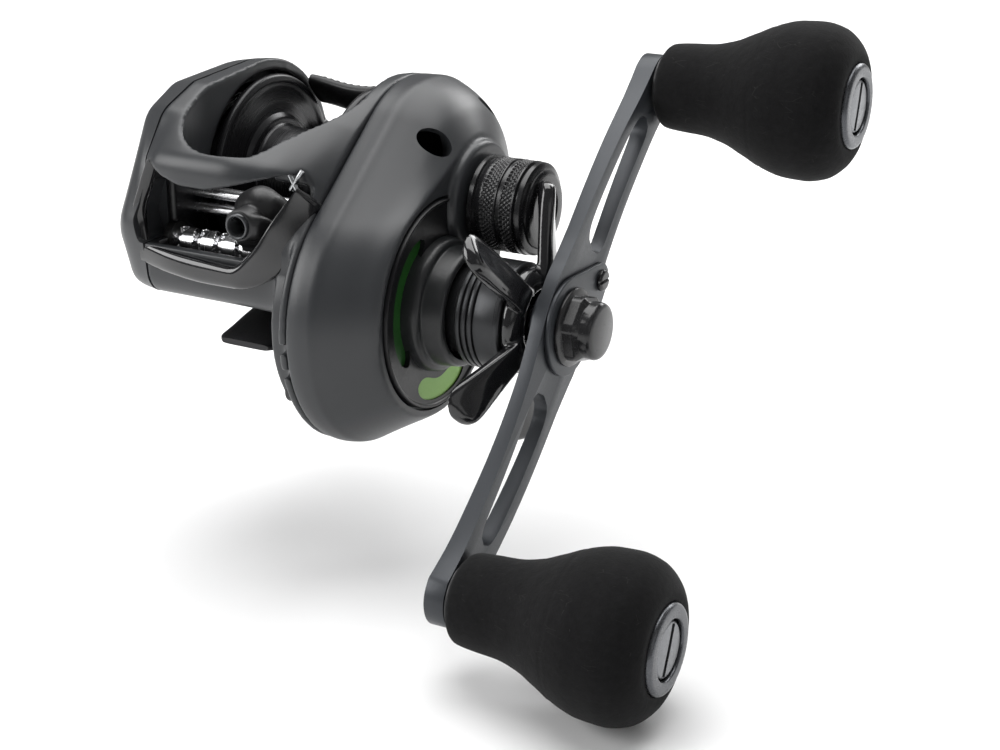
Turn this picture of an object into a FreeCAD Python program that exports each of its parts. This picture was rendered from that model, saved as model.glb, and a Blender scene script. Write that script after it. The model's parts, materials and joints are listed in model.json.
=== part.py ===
import FreeCAD, Part
import math
import os
import re

import Sketcher

# Low-profile baitcasting reel, left-hand retrieve, in millimetres.
# Origin: centre of the reel foot's lower face.  +X runs along the spool axis towards
# the handle, -Y is forward (line guide), +Z is up, away from the rod.

SIZES = {
    # main axes, all parallel to X
    "spool_y": -3.2, "spool_z": 24.78,
    "drive_y": -16.5, "drive_z": 9.5,
    "worm_y": -28.0, "worm_z": 17.48,
    # frame and side covers
    "palm_out": -16.0, "cheek_in": 12.2, "plate_in": 14.0, "plate_out": 17.0,
    "palm_radius": 20.0, "well_radius": 18.3, "well_wall": 1.7,
    "nose_y": -28.0, "nose_z": 17.0, "nose_radius": 8.5,
    "brow_y": -31.0, "brow_z": 32.0, "brow_radius": 4.5,
    "gear_y": -17.3, "gear_z": 7.2, "gear_radius": 24.4, "head_radius": 21.6,
    "cover_wall": 1.6, "cover_face": 30.2, "cover_rim": 32.4,
    "boss_radius": 11.2, "boss_end": 35.2, "cap_boss_radius": 10.6, "cap_boss_end": 34.2,
    "disc_radius": 19.2, "disc_thick": 1.2,
    # foot
    "foot_width": 12.7, "foot_half": 29.8, "foot_thick": 3.8, "foot_tip": 1.1, "corner": 3,
    "rivet_radius": 1.5, "rivet_gap": 13.0,
    # spool
    "flange_radius": 17.9, "flange_x": 12.0, "flange_thick": 1.2, "core_radius": 8.5,
    "shaft_radius": 1.5, "spool_shaft_end": 40.0, "run": 0.04,
    # gears
    "module": 0.5, "main_teeth": 70, "pinion_teeth": 11, "level_teeth": 39, "worm_teeth": 17,
    "main_x": 22.0, "main_width": 4.0, "level_x": 18.2, "level_width": 1.8,
    "pinion_x": 18.4, "pinion_slot": 1.7, "groove_x": 27.6, "pinion_end": 33.8,
    "drive_radius": 2.5, "drive_end": 62.5,
    "drag_radius": 13.0, "washer": 0.8,
    "clutch_radius": 8.0, "clutch_sleeve": 4.5,
    # star drag and collar
    "collar_x": 37.0, "collar_end": 46.0, "collar_radius": 9.8,
    "star_x": 46.4, "star_end": 51.8, "star_hub": 8.0, "star_radius": 24.0, "star_arms": 5,
    # handle
    "blade_x": 53.0, "blade_end": 57.0, "crank": 50.0, "crank_angle": 42.67,
    "blade_hub": 11.0, "blade_tip": 5.5, "slot_width": 5.6,
    "nut_flange": 7.0, "nut_across": 9.8, "nut_end": 64.0,
    # knobs
    "knob_x": 57.4, "knob_end": 93.3, "knob_radius": 13.6, "neck_radius": 6.2,
    "knob_cap_radius": 7.35, "knob_bore": 3.6, "axle_radius": 1.9,
    # cast control cap
    "cap_x": 34.5, "cap_end": 44.2, "cap_radius": 8.25, "collar_thread": 6.2,
    # line guide
    "guide_x": 3.5, "guide_width": 10.4, "eye_y": -34.0, "eye_z": 24.0, "eye_hole": 2.1,
    "rod_y": -23.0, "rod_low": 22.3, "rod_high": 25.3, "rod_radius": 1.1, "worm_radius": 2.4,
    # thumb bar
    "bar_angle": 40.0, "bar_inner": 18.9, "bar_thick": 3.2, "bar_long": 7.5, "bar_half": 11.8,
    # brake dial
    "dial_radius": 9.0, "dial_x": -28.0, "dial_thick": 2.4,
    # clutch yoke
    "yoke_x": 27.9, "yoke_thick": 0.8, "yoke_travel": 2, "yoke_width": 2.1, "yoke_eye_radius": 3.9,
    "post_offset": 6.8, "post_radius": 0.9,
}

doc = FreeCAD.newDocument("baitcasting_reel")
sheet = doc.addObject("Spreadsheet::Sheet", "Sizes")
for row, (alias, number) in enumerate(SIZES.items(), start=1):
    sheet.set("A%d" % row, alias)
    sheet.set("B%d" % row, str(number))
    sheet.setAlias("B%d" % row, alias)
doc.recompute()

AXES = {"spool": ("spool_y", "spool_z"), "drive": ("drive_y", "drive_z"), "worm": ("worm_y", "worm_z")}
ALONG_X = FreeCAD.Rotation(FreeCAD.Vector(0, 1, 0), 90)
PARTS = []


def number(expression):
    """The value of an expression in the sheet's names."""
    return float(sheet.evalExpression(str(expression)))


def linked(expression):
    """The same expression, written for use outside the sheet."""
    return re.sub(r"\b([a-z][a-z_]*)\b", r"Sizes.\1", str(expression))


def bind(thing, prop, expression):
    thing.setExpression(prop, linked(expression))


def keep(thing, name):
    """Mark a finished object as one of the reel's own pieces."""
    thing.Label = name
    PARTS.append(thing)
    return thing


def place(thing, x="0", y="0", z="0", rotation=None):
    """Put an object at a point given by expressions."""
    base = FreeCAD.Vector(number(x), number(y), number(z))
    thing.Placement = FreeCAD.Placement(base, rotation or FreeCAD.Rotation())
    for letter, expression in zip("xyz", (x, y, z)):
        bind(thing, "Placement.Base." + letter, expression)


def new_sketch(body, name, plane, offset="0"):
    """A sketch on one of the body's own origin planes, moved along its normal."""
    sketch = body.newObject("Sketcher::SketchObject", name)
    face = [f for f in body.Origin.OriginFeatures if f.Role == plane][0]
    sketch.AttachmentSupport = [(face, "")]
    sketch.MapMode = "FlatFace"
    sketch.AttachmentOffset = FreeCAD.Placement(FreeCAD.Vector(0, 0, number(offset)), FreeCAD.Rotation())
    bind(sketch, "AttachmentOffset.Base.z", offset)
    return sketch


def pin_point(sketch, geometry, point, across, up):
    """Tie one point of a sketch to two expressions."""
    for kind, expression in (("DistanceX", across), ("DistanceY", up)):
        index = sketch.addConstraint(Sketcher.Constraint(kind, -1, 1, geometry, point, number(expression)))
        bind(sketch, "Constraints[%d]" % index, expression)


def polygon(sketch, points):
    """A closed outline through points given as pairs of expressions."""
    corners = [FreeCAD.Vector(number(a), number(b), 0) for a, b in points]
    count = len(corners)
    for i in range(count):
        sketch.addGeometry(Part.LineSegment(corners[i], corners[(i + 1) % count]), False)
    for i in range(count):
        sketch.addConstraint(Sketcher.Constraint("Coincident", i, 2, (i + 1) % count, 1))
    for i, (across, up) in enumerate(points):
        pin_point(sketch, i, 1, across, up)


def circle_hull(sketch, circles):
    """The outline stretched round circles (across, up, radius), listed anticlockwise."""
    centres = [FreeCAD.Vector(number(a), number(b), 0) for a, b, _ in circles]
    radii = [number(r) for _, _, r in circles]
    count = len(circles)
    normals = []
    for i in range(count):
        j = (i + 1) % count
        step = centres[j] - centres[i]
        heading = math.atan2(step.y, step.x)
        normals.append(heading - math.acos((radii[i] - radii[j]) / step.Length))
    for i in range(count):
        start, end = normals[i - 1], normals[i]
        while end < start:
            end += 2 * math.pi
        ring = Part.Circle(centres[i], FreeCAD.Vector(0, 0, 1), radii[i])
        sketch.addGeometry(Part.ArcOfCircle(ring, start, end), False)
    for i in range(count):
        j = (i + 1) % count
        way = FreeCAD.Vector(math.cos(normals[i]), math.sin(normals[i]), 0)
        sketch.addGeometry(Part.LineSegment(centres[i] + way * radii[i], centres[j] + way * radii[j]), False)
    for i in range(count):
        j = (i + 1) % count
        sketch.addConstraint(Sketcher.Constraint("Tangent", i, 2, count + i, 1))
        sketch.addConstraint(Sketcher.Constraint("Tangent", count + i, 2, j, 1))
    for i, (across, up, radius) in enumerate(circles):
        pin_point(sketch, i, 3, across, up)
        index = sketch.addConstraint(Sketcher.Constraint("Radius", i, radii[i]))
        bind(sketch, "Constraints[%d]" % index, radius)


def turned(name, points, axis="drive", y=None, z=None):
    """A piece turned about a line parallel to X, from (along, radius) points."""
    body = doc.addObject("PartDesign::Body", name)
    sketch = new_sketch(body, name + "_profile", "XY_Plane")
    polygon(sketch, points)
    spin = body.newObject("PartDesign::Revolution", name + "_turn")
    spin.Profile = sketch
    spin.ReferenceAxis = (sketch, ["H_Axis"])
    spin.Angle = 360
    place(body, "0", y or AXES[axis][0], z or AXES[axis][1])
    return body


def ring(name, start, end, outer, inner, axis="drive", y=None, z=None):
    """A plain tube or washer."""
    points = [(start, inner), (end, inner), (end, outer), (start, outer)]
    return turned(name, points, axis, y, z)


def rod(name, start, end, radius, y, z):
    """A plain round rod along X."""
    piece = doc.addObject("Part::Cylinder", name)
    bind(piece, "Radius", radius)
    bind(piece, "Height", "%s-(%s)" % (end, start))
    piece.Radius = number(radius)
    piece.Height = number("%s-(%s)" % (end, start))
    place(piece, start, y, z, ALONG_X)
    return piece


def box(name, x, y, z, length, width, height, rotation=None):
    piece = doc.addObject("Part::Box", name)
    for prop, expression in (("Length", length), ("Width", width), ("Height", height)):
        setattr(piece, prop, number(expression))
        bind(piece, prop, expression)
    place(piece, x, y, z, rotation)
    return piece


def slab(name, points, start, end, plane="YZ_Plane"):
    """A flat-sided piece: a polygon on an origin plane, padded between two stations."""
    body = doc.addObject("PartDesign::Body", name)
    sketch = new_sketch(body, name + "_outline", plane, start)
    polygon(sketch, points)
    pad = body.newObject("PartDesign::Pad", name + "_pad")
    pad.Profile = sketch
    pad.Length = number("%s-(%s)" % (end, start))
    bind(pad, "Length", "%s-(%s)" % (end, start))
    return body


def hull_slab(name, circles, start, end):
    body = doc.addObject("PartDesign::Body", name)
    sketch = new_sketch(body, name + "_outline", "YZ_Plane", start)
    circle_hull(sketch, circles)
    pad = body.newObject("PartDesign::Pad", name + "_pad")
    pad.Profile = sketch
    pad.Length = number("%s-(%s)" % (end, start))
    bind(pad, "Length", "%s-(%s)" % (end, start))
    return body


def loft(body, name, sketches, kind="Additive"):
    piece = body.newObject("PartDesign::%sLoft" % kind, name)
    piece.Profile = sketches[0]
    piece.Sections = sketches[1:]
    return piece


def joined(name, pieces):
    fuse = doc.addObject("Part::MultiFuse", name)
    fuse.Shapes = pieces
    return fuse


def cut(name, base, tools):
    """The base less one or more tools."""
    result = doc.addObject("Part::Cut", name)
    result.Base = base
    result.Tool = tools[0] if len(tools) == 1 else joined(name + "_tools", tools)
    return result


def polar(radius, degrees, centre=("drive_y", "drive_z")):
    """(y, z) expressions of a point at a radius and angle from a named axis."""
    cosine, sine = math.cos(math.radians(degrees)), math.sin(math.radians(degrees))
    return ("%s+(%s)*(%.6f)" % (centre[0], radius, cosine), "%s+(%s)*(%.6f)" % (centre[1], radius, sine))


# ---------------------------------------------------------------- frame and foot

def palm_circles():
    return [("spool_y", "spool_z", "palm_radius"), ("brow_y", "brow_z", "brow_radius"),
            ("nose_y", "nose_z", "nose_radius")]


def make_frame():
    """Two side plates, spool well, chin, brow arch and the seats for every bearing."""
    palm = hull_slab("palm_plate", palm_circles(), "palm_out", "-cheek_in")
    side = hull_slab("handle_plate", [("spool_y", "spool_z", "head_radius"), ("gear_y", "gear_z", "gear_radius")],
                     "cheek_in", "plate_out")
    chin = slab("chin", [("-19", "foot_thick"), ("-19", "6.2"), ("-31", "10.6"), ("-34.2", "13"),
                         ("-34.2", "18.3"), ("-36", "18.3"), ("-36", "14"), ("-33", "8.7")],
                "palm_out", "plate_out")
    arch = doc.addObject("PartDesign::Body", "arch")
    sections = []
    for i, (x, back, lift) in enumerate((("palm_out", "0", "0"), ("-3", "0", "1"), ("cheek_in+1", "6", "-2.5"))):
        sketch = new_sketch(arch, "arch_section_%d" % i, "YZ_Plane", x)
        corners = (("-36.2", "30.9"), ("-31.8", "31.3"), ("-30", "34"), ("-31.5", "36"), ("-35.3", "35.4"))
        polygon(sketch, [("%s+%s" % (a, back), "%s+%s" % (b, lift)) for a, b in corners])
        sections.append(sketch)
    loft(arch, "arch_loft", sections)
    well = doc.addObject("PartDesign::Body", "well")
    sketch = new_sketch(well, "well_profile", "XY_Plane")
    polygon(sketch, [("-cheek_in-1", "well_radius"), ("plate_in", "well_radius"),
                     ("plate_in", "well_radius+well_wall"), ("-cheek_in-1", "well_radius+well_wall")])
    spin = well.newObject("PartDesign::Revolution", "well_turn")
    spin.Profile = sketch
    spin.ReferenceAxis = (sketch, ["H_Axis"])
    spin.Angle = 120
    place(well, "0", "spool_y", "spool_z", FreeCAD.Rotation(FreeCAD.Vector(1, 0, 0), -105))
    floor = box("floor", "-cheek_in-1", "-21", "foot_thick", "cheek_in*2+2", "30", "3.2")
    solid = joined("frame_solid", [palm, side, chin, arch, well, floor])
    tools = [
        rod("spool_well", "palm_out-1", "plate_in", "well_radius", "spool_y", "spool_z"),
        rod("spool_bearing_seat", "plate_in-1", "plate_out+1", "5", "spool_y", "spool_z"),
        rod("drive_bearing_seat", "plate_in-2.5", "plate_out+1", "4", "drive_y", "drive_z"),
        rod("worm_seat", "palm_out-1", "plate_out+1", "3.2", "worm_y", "worm_z"),
        rod("rod_seat_low", "-15.2", "15.2", "rod_radius", "rod_y", "rod_low"),
        rod("rod_seat_high", "-15.2", "15.2", "rod_radius", "rod_y", "rod_high"),
        box("guide_room", "-14.3", "-34.3", "12.6", "28.6", "13.3", "18.2"),
        box("nose_room", "-14.3", "-37", "18.4", "28.6", "10", "12"),
    ]
    for i, spot in enumerate(COVER_SCREWS):
        tools.append(rod("screw_hole_%d" % i, "cheek_in-1", "plate_out+1", "1.4", *spot))
        tools.append(rod("screw_sink_%d" % i, "cheek_in-1", "plate_in+1.4", "2.3", *spot))
    for i, y in enumerate(RIVETS):
        hole = doc.addObject("Part::Cylinder", "floor_hole_%d" % i)
        hole.Height = 4
        bind(hole, "Radius", "rivet_radius")
        place(hole, "0", y, "foot_thick-0.5")
        tools.append(hole)
    keep(cut("frame", solid, tools), "frame")


COVER_SCREWS = (("-34", "-4"), ("1", "-3.5"), ("-20.5", "33"))
RIVETS = ("-rivet_gap", "0", "rivet_gap")


def make_foot():
    blank = slab("foot_blank", [("-foot_half", "0"), ("foot_half", "0"), ("foot_half", "foot_tip"),
                                ("foot_half-9", "foot_thick"), ("-foot_half+8", "foot_thick"),
                                ("-foot_half", "foot_tip")], "-foot_width/2", "foot_width/2")
    plan = doc.addObject("PartDesign::Body", "foot_plan")
    sketch = new_sketch(plan, "foot_plan_outline", "XY_Plane", "-1")
    corners = (("", "-"), ("", ""), ("-", ""), ("-", "-"))
    circle_hull(sketch, [("%s(foot_width/2-corner)" % a, "%s(foot_half-corner)" % b, "corner") for a, b in corners])
    pad = plan.newObject("PartDesign::Pad", "foot_plan_pad")
    pad.Profile = sketch
    pad.Length = 8
    rounded = doc.addObject("Part::Common", "foot_rounded")
    rounded.Base = blank
    rounded.Tool = plan
    holes, pins = [], []
    for i, y in enumerate(RIVETS):
        hole = doc.addObject("Part::Cylinder", "foot_hole_%d" % i)
        hole.Height = 8
        bind(hole, "Radius", "rivet_radius")
        place(hole, "0", y, "-1")
        holes.append(hole)
        pin = doc.addObject("Part::Cylinder", "rivet_%d" % i)
        bind(pin, "Radius", "rivet_radius")
        bind(pin, "Height", "foot_thick+2.4")
        place(pin, "0", y, "0.2")
        pins.append(pin)
    keep(cut("reel_foot", rounded, holes), "reel_foot")
    keep(joined("foot_rivets", pins), "foot_rivets")


def make_trim():
    """The gloss lip below the line guide's window, rising to the handle side."""
    points = [("-15.5", "18.3"), ("-15.5", "14.2"), ("4", "13.6"), ("10.5", "16.4"), ("16.6", "27"),
              ("16.6", "31.5"), ("8.5", "19.6"), ("3.4", "17.4")]
    # The XZ plane's normal points to -Y, so its stations are counted forward.
    trim = slab("trim_blank", points, "36.1", "38.4", "XZ_Plane")
    keep(cut("front_trim", trim, [doc.getObject("frame")]), "front_trim")


# ---------------------------------------------------------------- covers

def cover_sections(inset):
    """(x, circles) along the handle-side cover, head circle first."""
    head = (("plate_out", "-0.5", "24", "21.6"), ("22", "-0.8", "24.2", "20.8"), ("27", "-1.6", "24.4", "18"),
            ("30.5", "-2.5", "24.7", "13.8"), ("cover_rim", "-3", "24.7", "11.2"))
    gear = (("-17.3", "7.2", "24.4"), ("-17.2", "7.6", "23.9"), ("-17", "8.4", "22.6"), ("-16.7", "9", "21.2"),
            ("-16.6", "9.3", "20.2"))
    return [(x, [(ay, az, "%s-%s" % (ar, inset)), (by, bz, "%s-%s" % (br, inset))])
            for (x, ay, az, ar), (by, bz, br) in zip(head, gear)]


def make_handle_cover():
    shell = doc.addObject("PartDesign::Body", "cover_shell")
    outer, inner = [], []
    for i, (x, circles) in enumerate(cover_sections("0")):
        sketch = new_sketch(shell, "outer_%d" % i, "YZ_Plane", x)
        circle_hull(sketch, circles)
        outer.append(sketch)
    loft(shell, "outer_loft", outer)
    for i, (x, circles) in enumerate(cover_sections("cover_wall")[:4]):
        sketch = new_sketch(shell, "inner_%d" % i, "YZ_Plane", x if i < 3 else "28.6")
        circle_hull(sketch, circles)
        inner.append(sketch)
    loft(shell, "inner_loft", inner, "Subtractive")
    bosses = [rod("drive_boss", "28", "boss_end", "boss_radius", "drive_y", "drive_z"),
              rod("cap_boss", "28.4", "cap_boss_end", "cap_boss_radius", "spool_y", "spool_z"),
              rod("cap_thread", "cap_boss_end-1", "41", "collar_thread", "spool_y", "spool_z")]
    for i, spot in enumerate(COVER_SCREWS):
        bosses.append(rod("screw_boss_%d" % i, "plate_out", "21", "2.5", *spot))
    solid = joined("cover_solid", [shell] + bosses)
    recess = ring("disc_recess", "cover_face", "cover_rim+1", "disc_radius+0.2", "boss_radius", "drive")
    keep_boss = rod("recess_limit", "cover_face-1", "cover_rim+3", "cap_boss_radius", "spool_y", "spool_z")
    pocket = cut("disc_pocket", recess, [keep_boss])
    tools = [pocket,
             rod("clutch_seat", "27", "boss_end+1", "clutch_radius", "drive_y", "drive_z"),
             rod("pinion_bearing_seat", "27", "cap_boss_end+0.1", "5", "spool_y", "spool_z"),
             rod("shaft_end_room", "32", "42", "3", "spool_y", "spool_z"),
             yoke_hull("yoke_room", "27", "yoke_x+yoke_thick+yoke_travel+0.3", "yoke_width+0.4"),
             rod("yoke_eye_room", "27", "yoke_x+yoke_thick+yoke_travel+0.3", "yoke_eye_radius+0.3",
                 "spool_y", "spool_z"),
             rod("gear_room", "20", "28.7", "18.9", "drive_y", "drive_z")]
    for i, spot in enumerate(COVER_SCREWS):
        tools.append(rod("screw_thread_%d" % i, "plate_out-1", "20.2", "1.2", *spot))
    tools += side_ports()
    keep(cut("handle_side_cover", solid, tools), "handle_side_cover")


def side_ports():
    """Two oval openings through the cover's upper shoulder."""
    ports = []
    for i, turn in enumerate((112.0, 52.0)):
        oval = doc.addObject("PartDesign::Body", "port_%d" % i)
        sketch = new_sketch(oval, "port_outline_%d" % i, "XY_Plane", "12")
        circle_hull(sketch, [("25.2", "-2.6", "2.1"), ("25.2", "2.6", "2.1")])
        pad = oval.newObject("PartDesign::Pad", "port_pad_%d" % i)
        pad.Profile = sketch
        pad.Length = 12
        place(oval, "0", "spool_y", "spool_z", FreeCAD.Rotation(FreeCAD.Vector(1, 0, 0), turn - 90))
        ports.append(oval)
    return ports


def sector(name, start, end, outer, inner, begin, sweep):
    """Part of a ring about the drive axis, from one angle over a sweep (degrees)."""
    body = doc.addObject("PartDesign::Body", name)
    sketch = new_sketch(body, name + "_profile", "XY_Plane")
    polygon(sketch, [(start, inner), (end, inner), (end, outer), (start, outer)])
    spin = body.newObject("PartDesign::Revolution", name + "_turn")
    spin.Profile = sketch
    spin.ReferenceAxis = (sketch, ["H_Axis"])
    spin.Angle = number(sweep)
    place(body, "0", "drive_y", "drive_z", FreeCAD.Rotation(FreeCAD.Vector(1, 0, 0), number(begin)))
    return body


def make_accent():
    """The dark inset disc on the cover's face, with two windows over green inserts."""
    blank = ring("disc_blank", "cover_face+disc_thick", "cover_face+disc_thick*2-0.3", "disc_radius",
                 "boss_radius+0.1", "drive")
    around_cap = rod("disc_relief", "29", "36", "cap_boss_radius+0.1", "spool_y", "spool_z")
    windows = [sector("window_rear", "29", "36", "17.2", "13", "110", "100"),
               sector("window_low", "29", "36", "17.6", "13", "245", "52")]
    keep(cut("accent_disc", blank, [around_cap] + windows), "accent_disc")
    inserts = [sector("green_rear", "cover_face", "cover_face+disc_thick", "18.2", "12", "106", "108"),
               sector("green_low", "cover_face", "cover_face+disc_thick", "18.6", "12", "240", "62")]
    keep(joined("green_inserts", inserts), "green_inserts")


def make_cover_screws():
    screws = []
    for i, spot in enumerate(COVER_SCREWS):
        head = rod("screw_head_%d" % i, "cheek_in+0.6", "plate_in+1.4", "2.2", *spot)
        stem = rod("screw_stem_%d" % i, "plate_in+1.3", "19.8", "1.2", *spot)
        screws += [head, stem]
    keep(joined("cover_screws", screws), "cover_screws")


def make_palm_cover():
    dome = doc.addObject("PartDesign::Body", "palm_dome")
    sections = []
    shapes = (("palm_out", "0", "0", "0"), ("-21", "0.3", "0.3", "0.2"), ("-25", "1.8", "4.5", "1.4"),
              ("-27.4", "6", "12", "3"))
    for i, (x, shrink, back, lean) in enumerate(shapes):
        sketch = new_sketch(dome, "palm_section_%d" % i, "YZ_Plane", x)
        circle_hull(sketch, [("spool_y", "spool_z-" + lean + "*0.2", "palm_radius-" + shrink),
                             ("brow_y+" + back, "brow_z-" + lean, "brow_radius-" + shrink + "*0.3"),
                             ("nose_y+" + back, "nose_z", "nose_radius-" + shrink + "*0.6")])
        sections.append(sketch)
    loft(dome, "palm_loft", sections)
    tools = [ring("palm_hollow", "-24", "palm_out+1", "16", "6", "spool"),
             rod("palm_bearing_seat", "-19", "palm_out+1", "4", "spool_y", "spool_z"),
             rod("palm_shaft_room", "-20", "-18", "2.4", "spool_y", "spool_z"),
             rod("dial_seat", "-30", "dial_x+dial_thick+0.1", "dial_radius+0.15", "spool_y", "spool_z"),
             rod("dial_stem_seat", "-30", "-22", "2.06", "spool_y", "spool_z")]
    keep(cut("palm_side_cover", dome, tools), "palm_side_cover")
    keep(ring("magnet_ring", "-24", "-17.6", "14.2", "12.6", "spool"), "magnet_ring")
    dial = turned("brake_dial", [("dial_x", "0"), ("-22.4", "0"), ("-22.4", "2"),
                                 ("dial_x+dial_thick", "2"), ("dial_x+dial_thick", "dial_radius"),
                                 ("dial_x+0.8", "dial_radius"), ("dial_x", "dial_radius-1")], "spool")
    keep(dial, "brake_dial")


# ---------------------------------------------------------------- gears

def involute_gear(name, teeth, width, bore, phase, x, y, z):
    """A spur gear with involute flanks, a little thin for backlash, from the sheet's module."""
    count = int(number(teeth))
    size = number("module")
    pitch = size * count / 2
    base = pitch * math.cos(math.radians(20))
    tip = pitch + size
    root = pitch - 1.2 * size
    half = math.pi / 2 / count - 0.045 / pitch
    lean = math.tan(math.radians(20)) - math.radians(20)
    points = []
    for tooth in range(count):
        centre = math.radians(phase) + 2 * math.pi * tooth / count
        flank = []
        for step in range(4):
            radius = max(base, root) + (tip - max(base, root)) * step / 3.0
            roll = math.acos(min(1.0, base / radius))
            flank.append((radius, half + lean - (math.tan(roll) - roll)))
        flank.insert(0, (root, flank[0][1]))
        for radius, away in flank:
            points.append((radius, centre - away))
        for radius, away in reversed(flank):
            points.append((radius, centre + away))
    corners = [FreeCAD.Vector(0, r * math.cos(a), r * math.sin(a)) for r, a in points]
    outline = Part.Face(Part.makePolygon(corners + [corners[0]]))
    solid = outline.extrude(FreeCAD.Vector(number(width), 0, 0))
    along = FreeCAD.Vector(1, 0, 0)
    solid = solid.cut(Part.makeCylinder(number(bore), 60, FreeCAD.Vector(-5, 0, 0), along))
    return finish_shape(name, solid, x, y, z)


def finish_shape(name, solid, x, y, z):
    """A document object that holds a shape made in code, put at its place."""
    piece = doc.addObject("Part::Feature", name)
    piece.Shape = solid
    piece.Placement = FreeCAD.Placement(FreeCAD.Vector(number(x), number(y), number(z)), FreeCAD.Rotation())
    for letter, expression in zip("xyz", (x, y, z)):
        bind(piece, "Placement.Base." + letter, expression)
    return piece


def mesh_angle(from_axis, to_axis):
    """The direction from one axis to another, degrees from +Y towards +Z."""
    run = number(AXES[to_axis][0]) - number(AXES[from_axis][0])
    rise = number(AXES[to_axis][1]) - number(AXES[from_axis][1])
    return math.degrees(math.atan2(rise, run))


def make_gears():
    towards_spool = mesh_angle("drive", "spool")
    towards_worm = mesh_angle("drive", "worm")
    gap = 180.0 / number("main_teeth")
    main = involute_gear("main_gear_blank", "main_teeth", "main_width", "drive_radius", towards_spool + gap,
                         "main_x", "drive_y", "drive_z")
    recess = rod("drag_recess", "main_x+1.4", "main_x+main_width+1", "drag_radius+0.3", "drive_y", "drive_z")
    keep(cut("main_gear_turned", main, [recess]), "main_gear")
    gap = 180.0 / number("level_teeth")
    keep(involute_gear("level_drive_gear", "level_teeth", "level_width", "drive_radius",
                       towards_worm + gap, "level_x", "drive_y", "drive_z"), "level_drive_gear")
    keep(involute_gear("worm_gear", "worm_teeth", "level_width", "1.2", towards_worm + 180, "level_x",
                       "worm_y", "worm_z"), "worm_gear")
    pinion = involute_gear("pinion_blank", "pinion_teeth", "groove_x-pinion_x", "shaft_radius+0.06",
                           towards_spool + 180, "pinion_x", "spool_y", "spool_z")
    nose = turned("pinion_nose", [("groove_x-0.5", "shaft_radius+0.06"), ("pinion_end", "shaft_radius+0.06"),
                                  ("pinion_end", "2.1"), ("29.9", "2.1"), ("29.9", "3.1"), ("29", "3.1"),
                                  ("29", "2.1"), ("groove_x-0.5", "2.1")], "spool")
    solid = joined("pinion_solid", [pinion, nose])
    slot = box("pinion_slot", "pinion_x-1", "spool_y-0.62", "spool_z-4", "pinion_slot+1", "1.24", "8")
    keep(cut("pinion", solid, [slot]), "pinion")


# ---------------------------------------------------------------- spool group

def make_spool():
    inner = "flange_x-flange_thick"
    points = [("-flange_x-0.2", "10"), ("-flange_x", "flange_radius-0.8"), ("-flange_x", "flange_radius"),
              ("-" + inner.replace("-", "+"), "flange_radius"),
              ("-" + inner.replace("-", "+") + "+1.6", "core_radius+1"), ("-8", "core_radius"),
              ("8", "core_radius"), (inner + "-1.6", "core_radius+1"), (inner, "flange_radius"),
              ("flange_x", "flange_radius"), ("flange_x", "flange_radius-0.8"), ("flange_x+0.2", "10"),
              ("10", "7.2"), ("2", "6.6"), ("1.2", "shaft_radius"), ("-1.2", "shaft_radius"), ("-2", "6.6"),
              ("-10", "7.2")]
    keep(turned("spool", points, "spool"), "spool")
    shaft = turned("spool_shaft_blank", [("-18.8", "0"), ("spool_shaft_end", "0"), ("spool_shaft_end", "0.9"),
                                   ("spool_shaft_end-0.8", "shaft_radius"), ("-18.8", "shaft_radius")], "spool")
    hole = doc.addObject("Part::Cylinder", "cross_pin_hole")
    hole.Radius = 0.5
    hole.Height = 8
    place(hole, "pinion_x+0.9", "spool_y", "spool_z-4")
    keep(cut("spool_shaft_drilled", shaft, [hole]), "spool_shaft")
    pin = doc.addObject("Part::Cylinder", "spool_cross_pin")
    pin.Radius = 0.5
    pin.Height = 5.2
    place(pin, "pinion_x+0.9", "spool_y", "spool_z-2.6")
    keep(pin, "spool_cross_pin")
    cup = turned("brake_rotor", [("-17.2", "11"), ("-17.2", "12"), ("-12.9", "12"), ("-12.9", "7.4"),
                                 ("-12.2", "7.4"), ("-12.2", "6.9"), ("-13.6", "6.9"), ("-13.6", "11")], "spool")
    keep(cup, "brake_rotor")


def bearing(name, start, end, outer, inner, axis="spool", y=None, z=None):
    """A shielded ball bearing as one ring with a shallow shield groove on each side."""
    middle = "(%s+%s)/2" % (outer, inner)
    points = [(start, inner), (end, inner), (end, middle + "-0.35"), (end + "-0.25", middle + "-0.35"),
              (end + "-0.25", middle + "+0.55"), (end, middle + "+0.55"), (end, outer), (start, outer),
              (start, middle + "+0.55"), (start + "+0.25", middle + "+0.55"),
              (start + "+0.25", middle + "-0.35"), (start, middle + "-0.35")]
    return turned(name, points, axis, y, z)


def make_bearings():
    seats = (("spool_bearing_palm", "-19", "-16", "4", "shaft_radius+run", "spool"),
             ("spool_bearing_handle", "plate_in+0.1", "plate_out", "5", "shaft_radius+run", "spool"),
             ("pinion_bearing", "32", "cap_boss_end", "5", "2.1+run", "spool"),
             ("drive_bearing", "plate_in+0.1", "plate_out", "4", "drive_radius+run", "drive"))
    for seat in seats:
        keep(bearing(*seat), seat[0])
    keep(ring("roller_clutch", "28.9", "boss_end-0.3", "clutch_radius", "clutch_sleeve+run", "drive"),
         "roller_clutch")
    bushings = [ring("worm_bushing_palm", "palm_out+0.2", "-14.4", "3.2", "1.2+run", "worm"),
                ring("worm_bushing_handle", "14.5", "plate_out", "3.2", "1.2+run", "worm")]
    keep(joined("worm_bushings", bushings), "worm_bushings")


# ---------------------------------------------------------------- drive train

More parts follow.
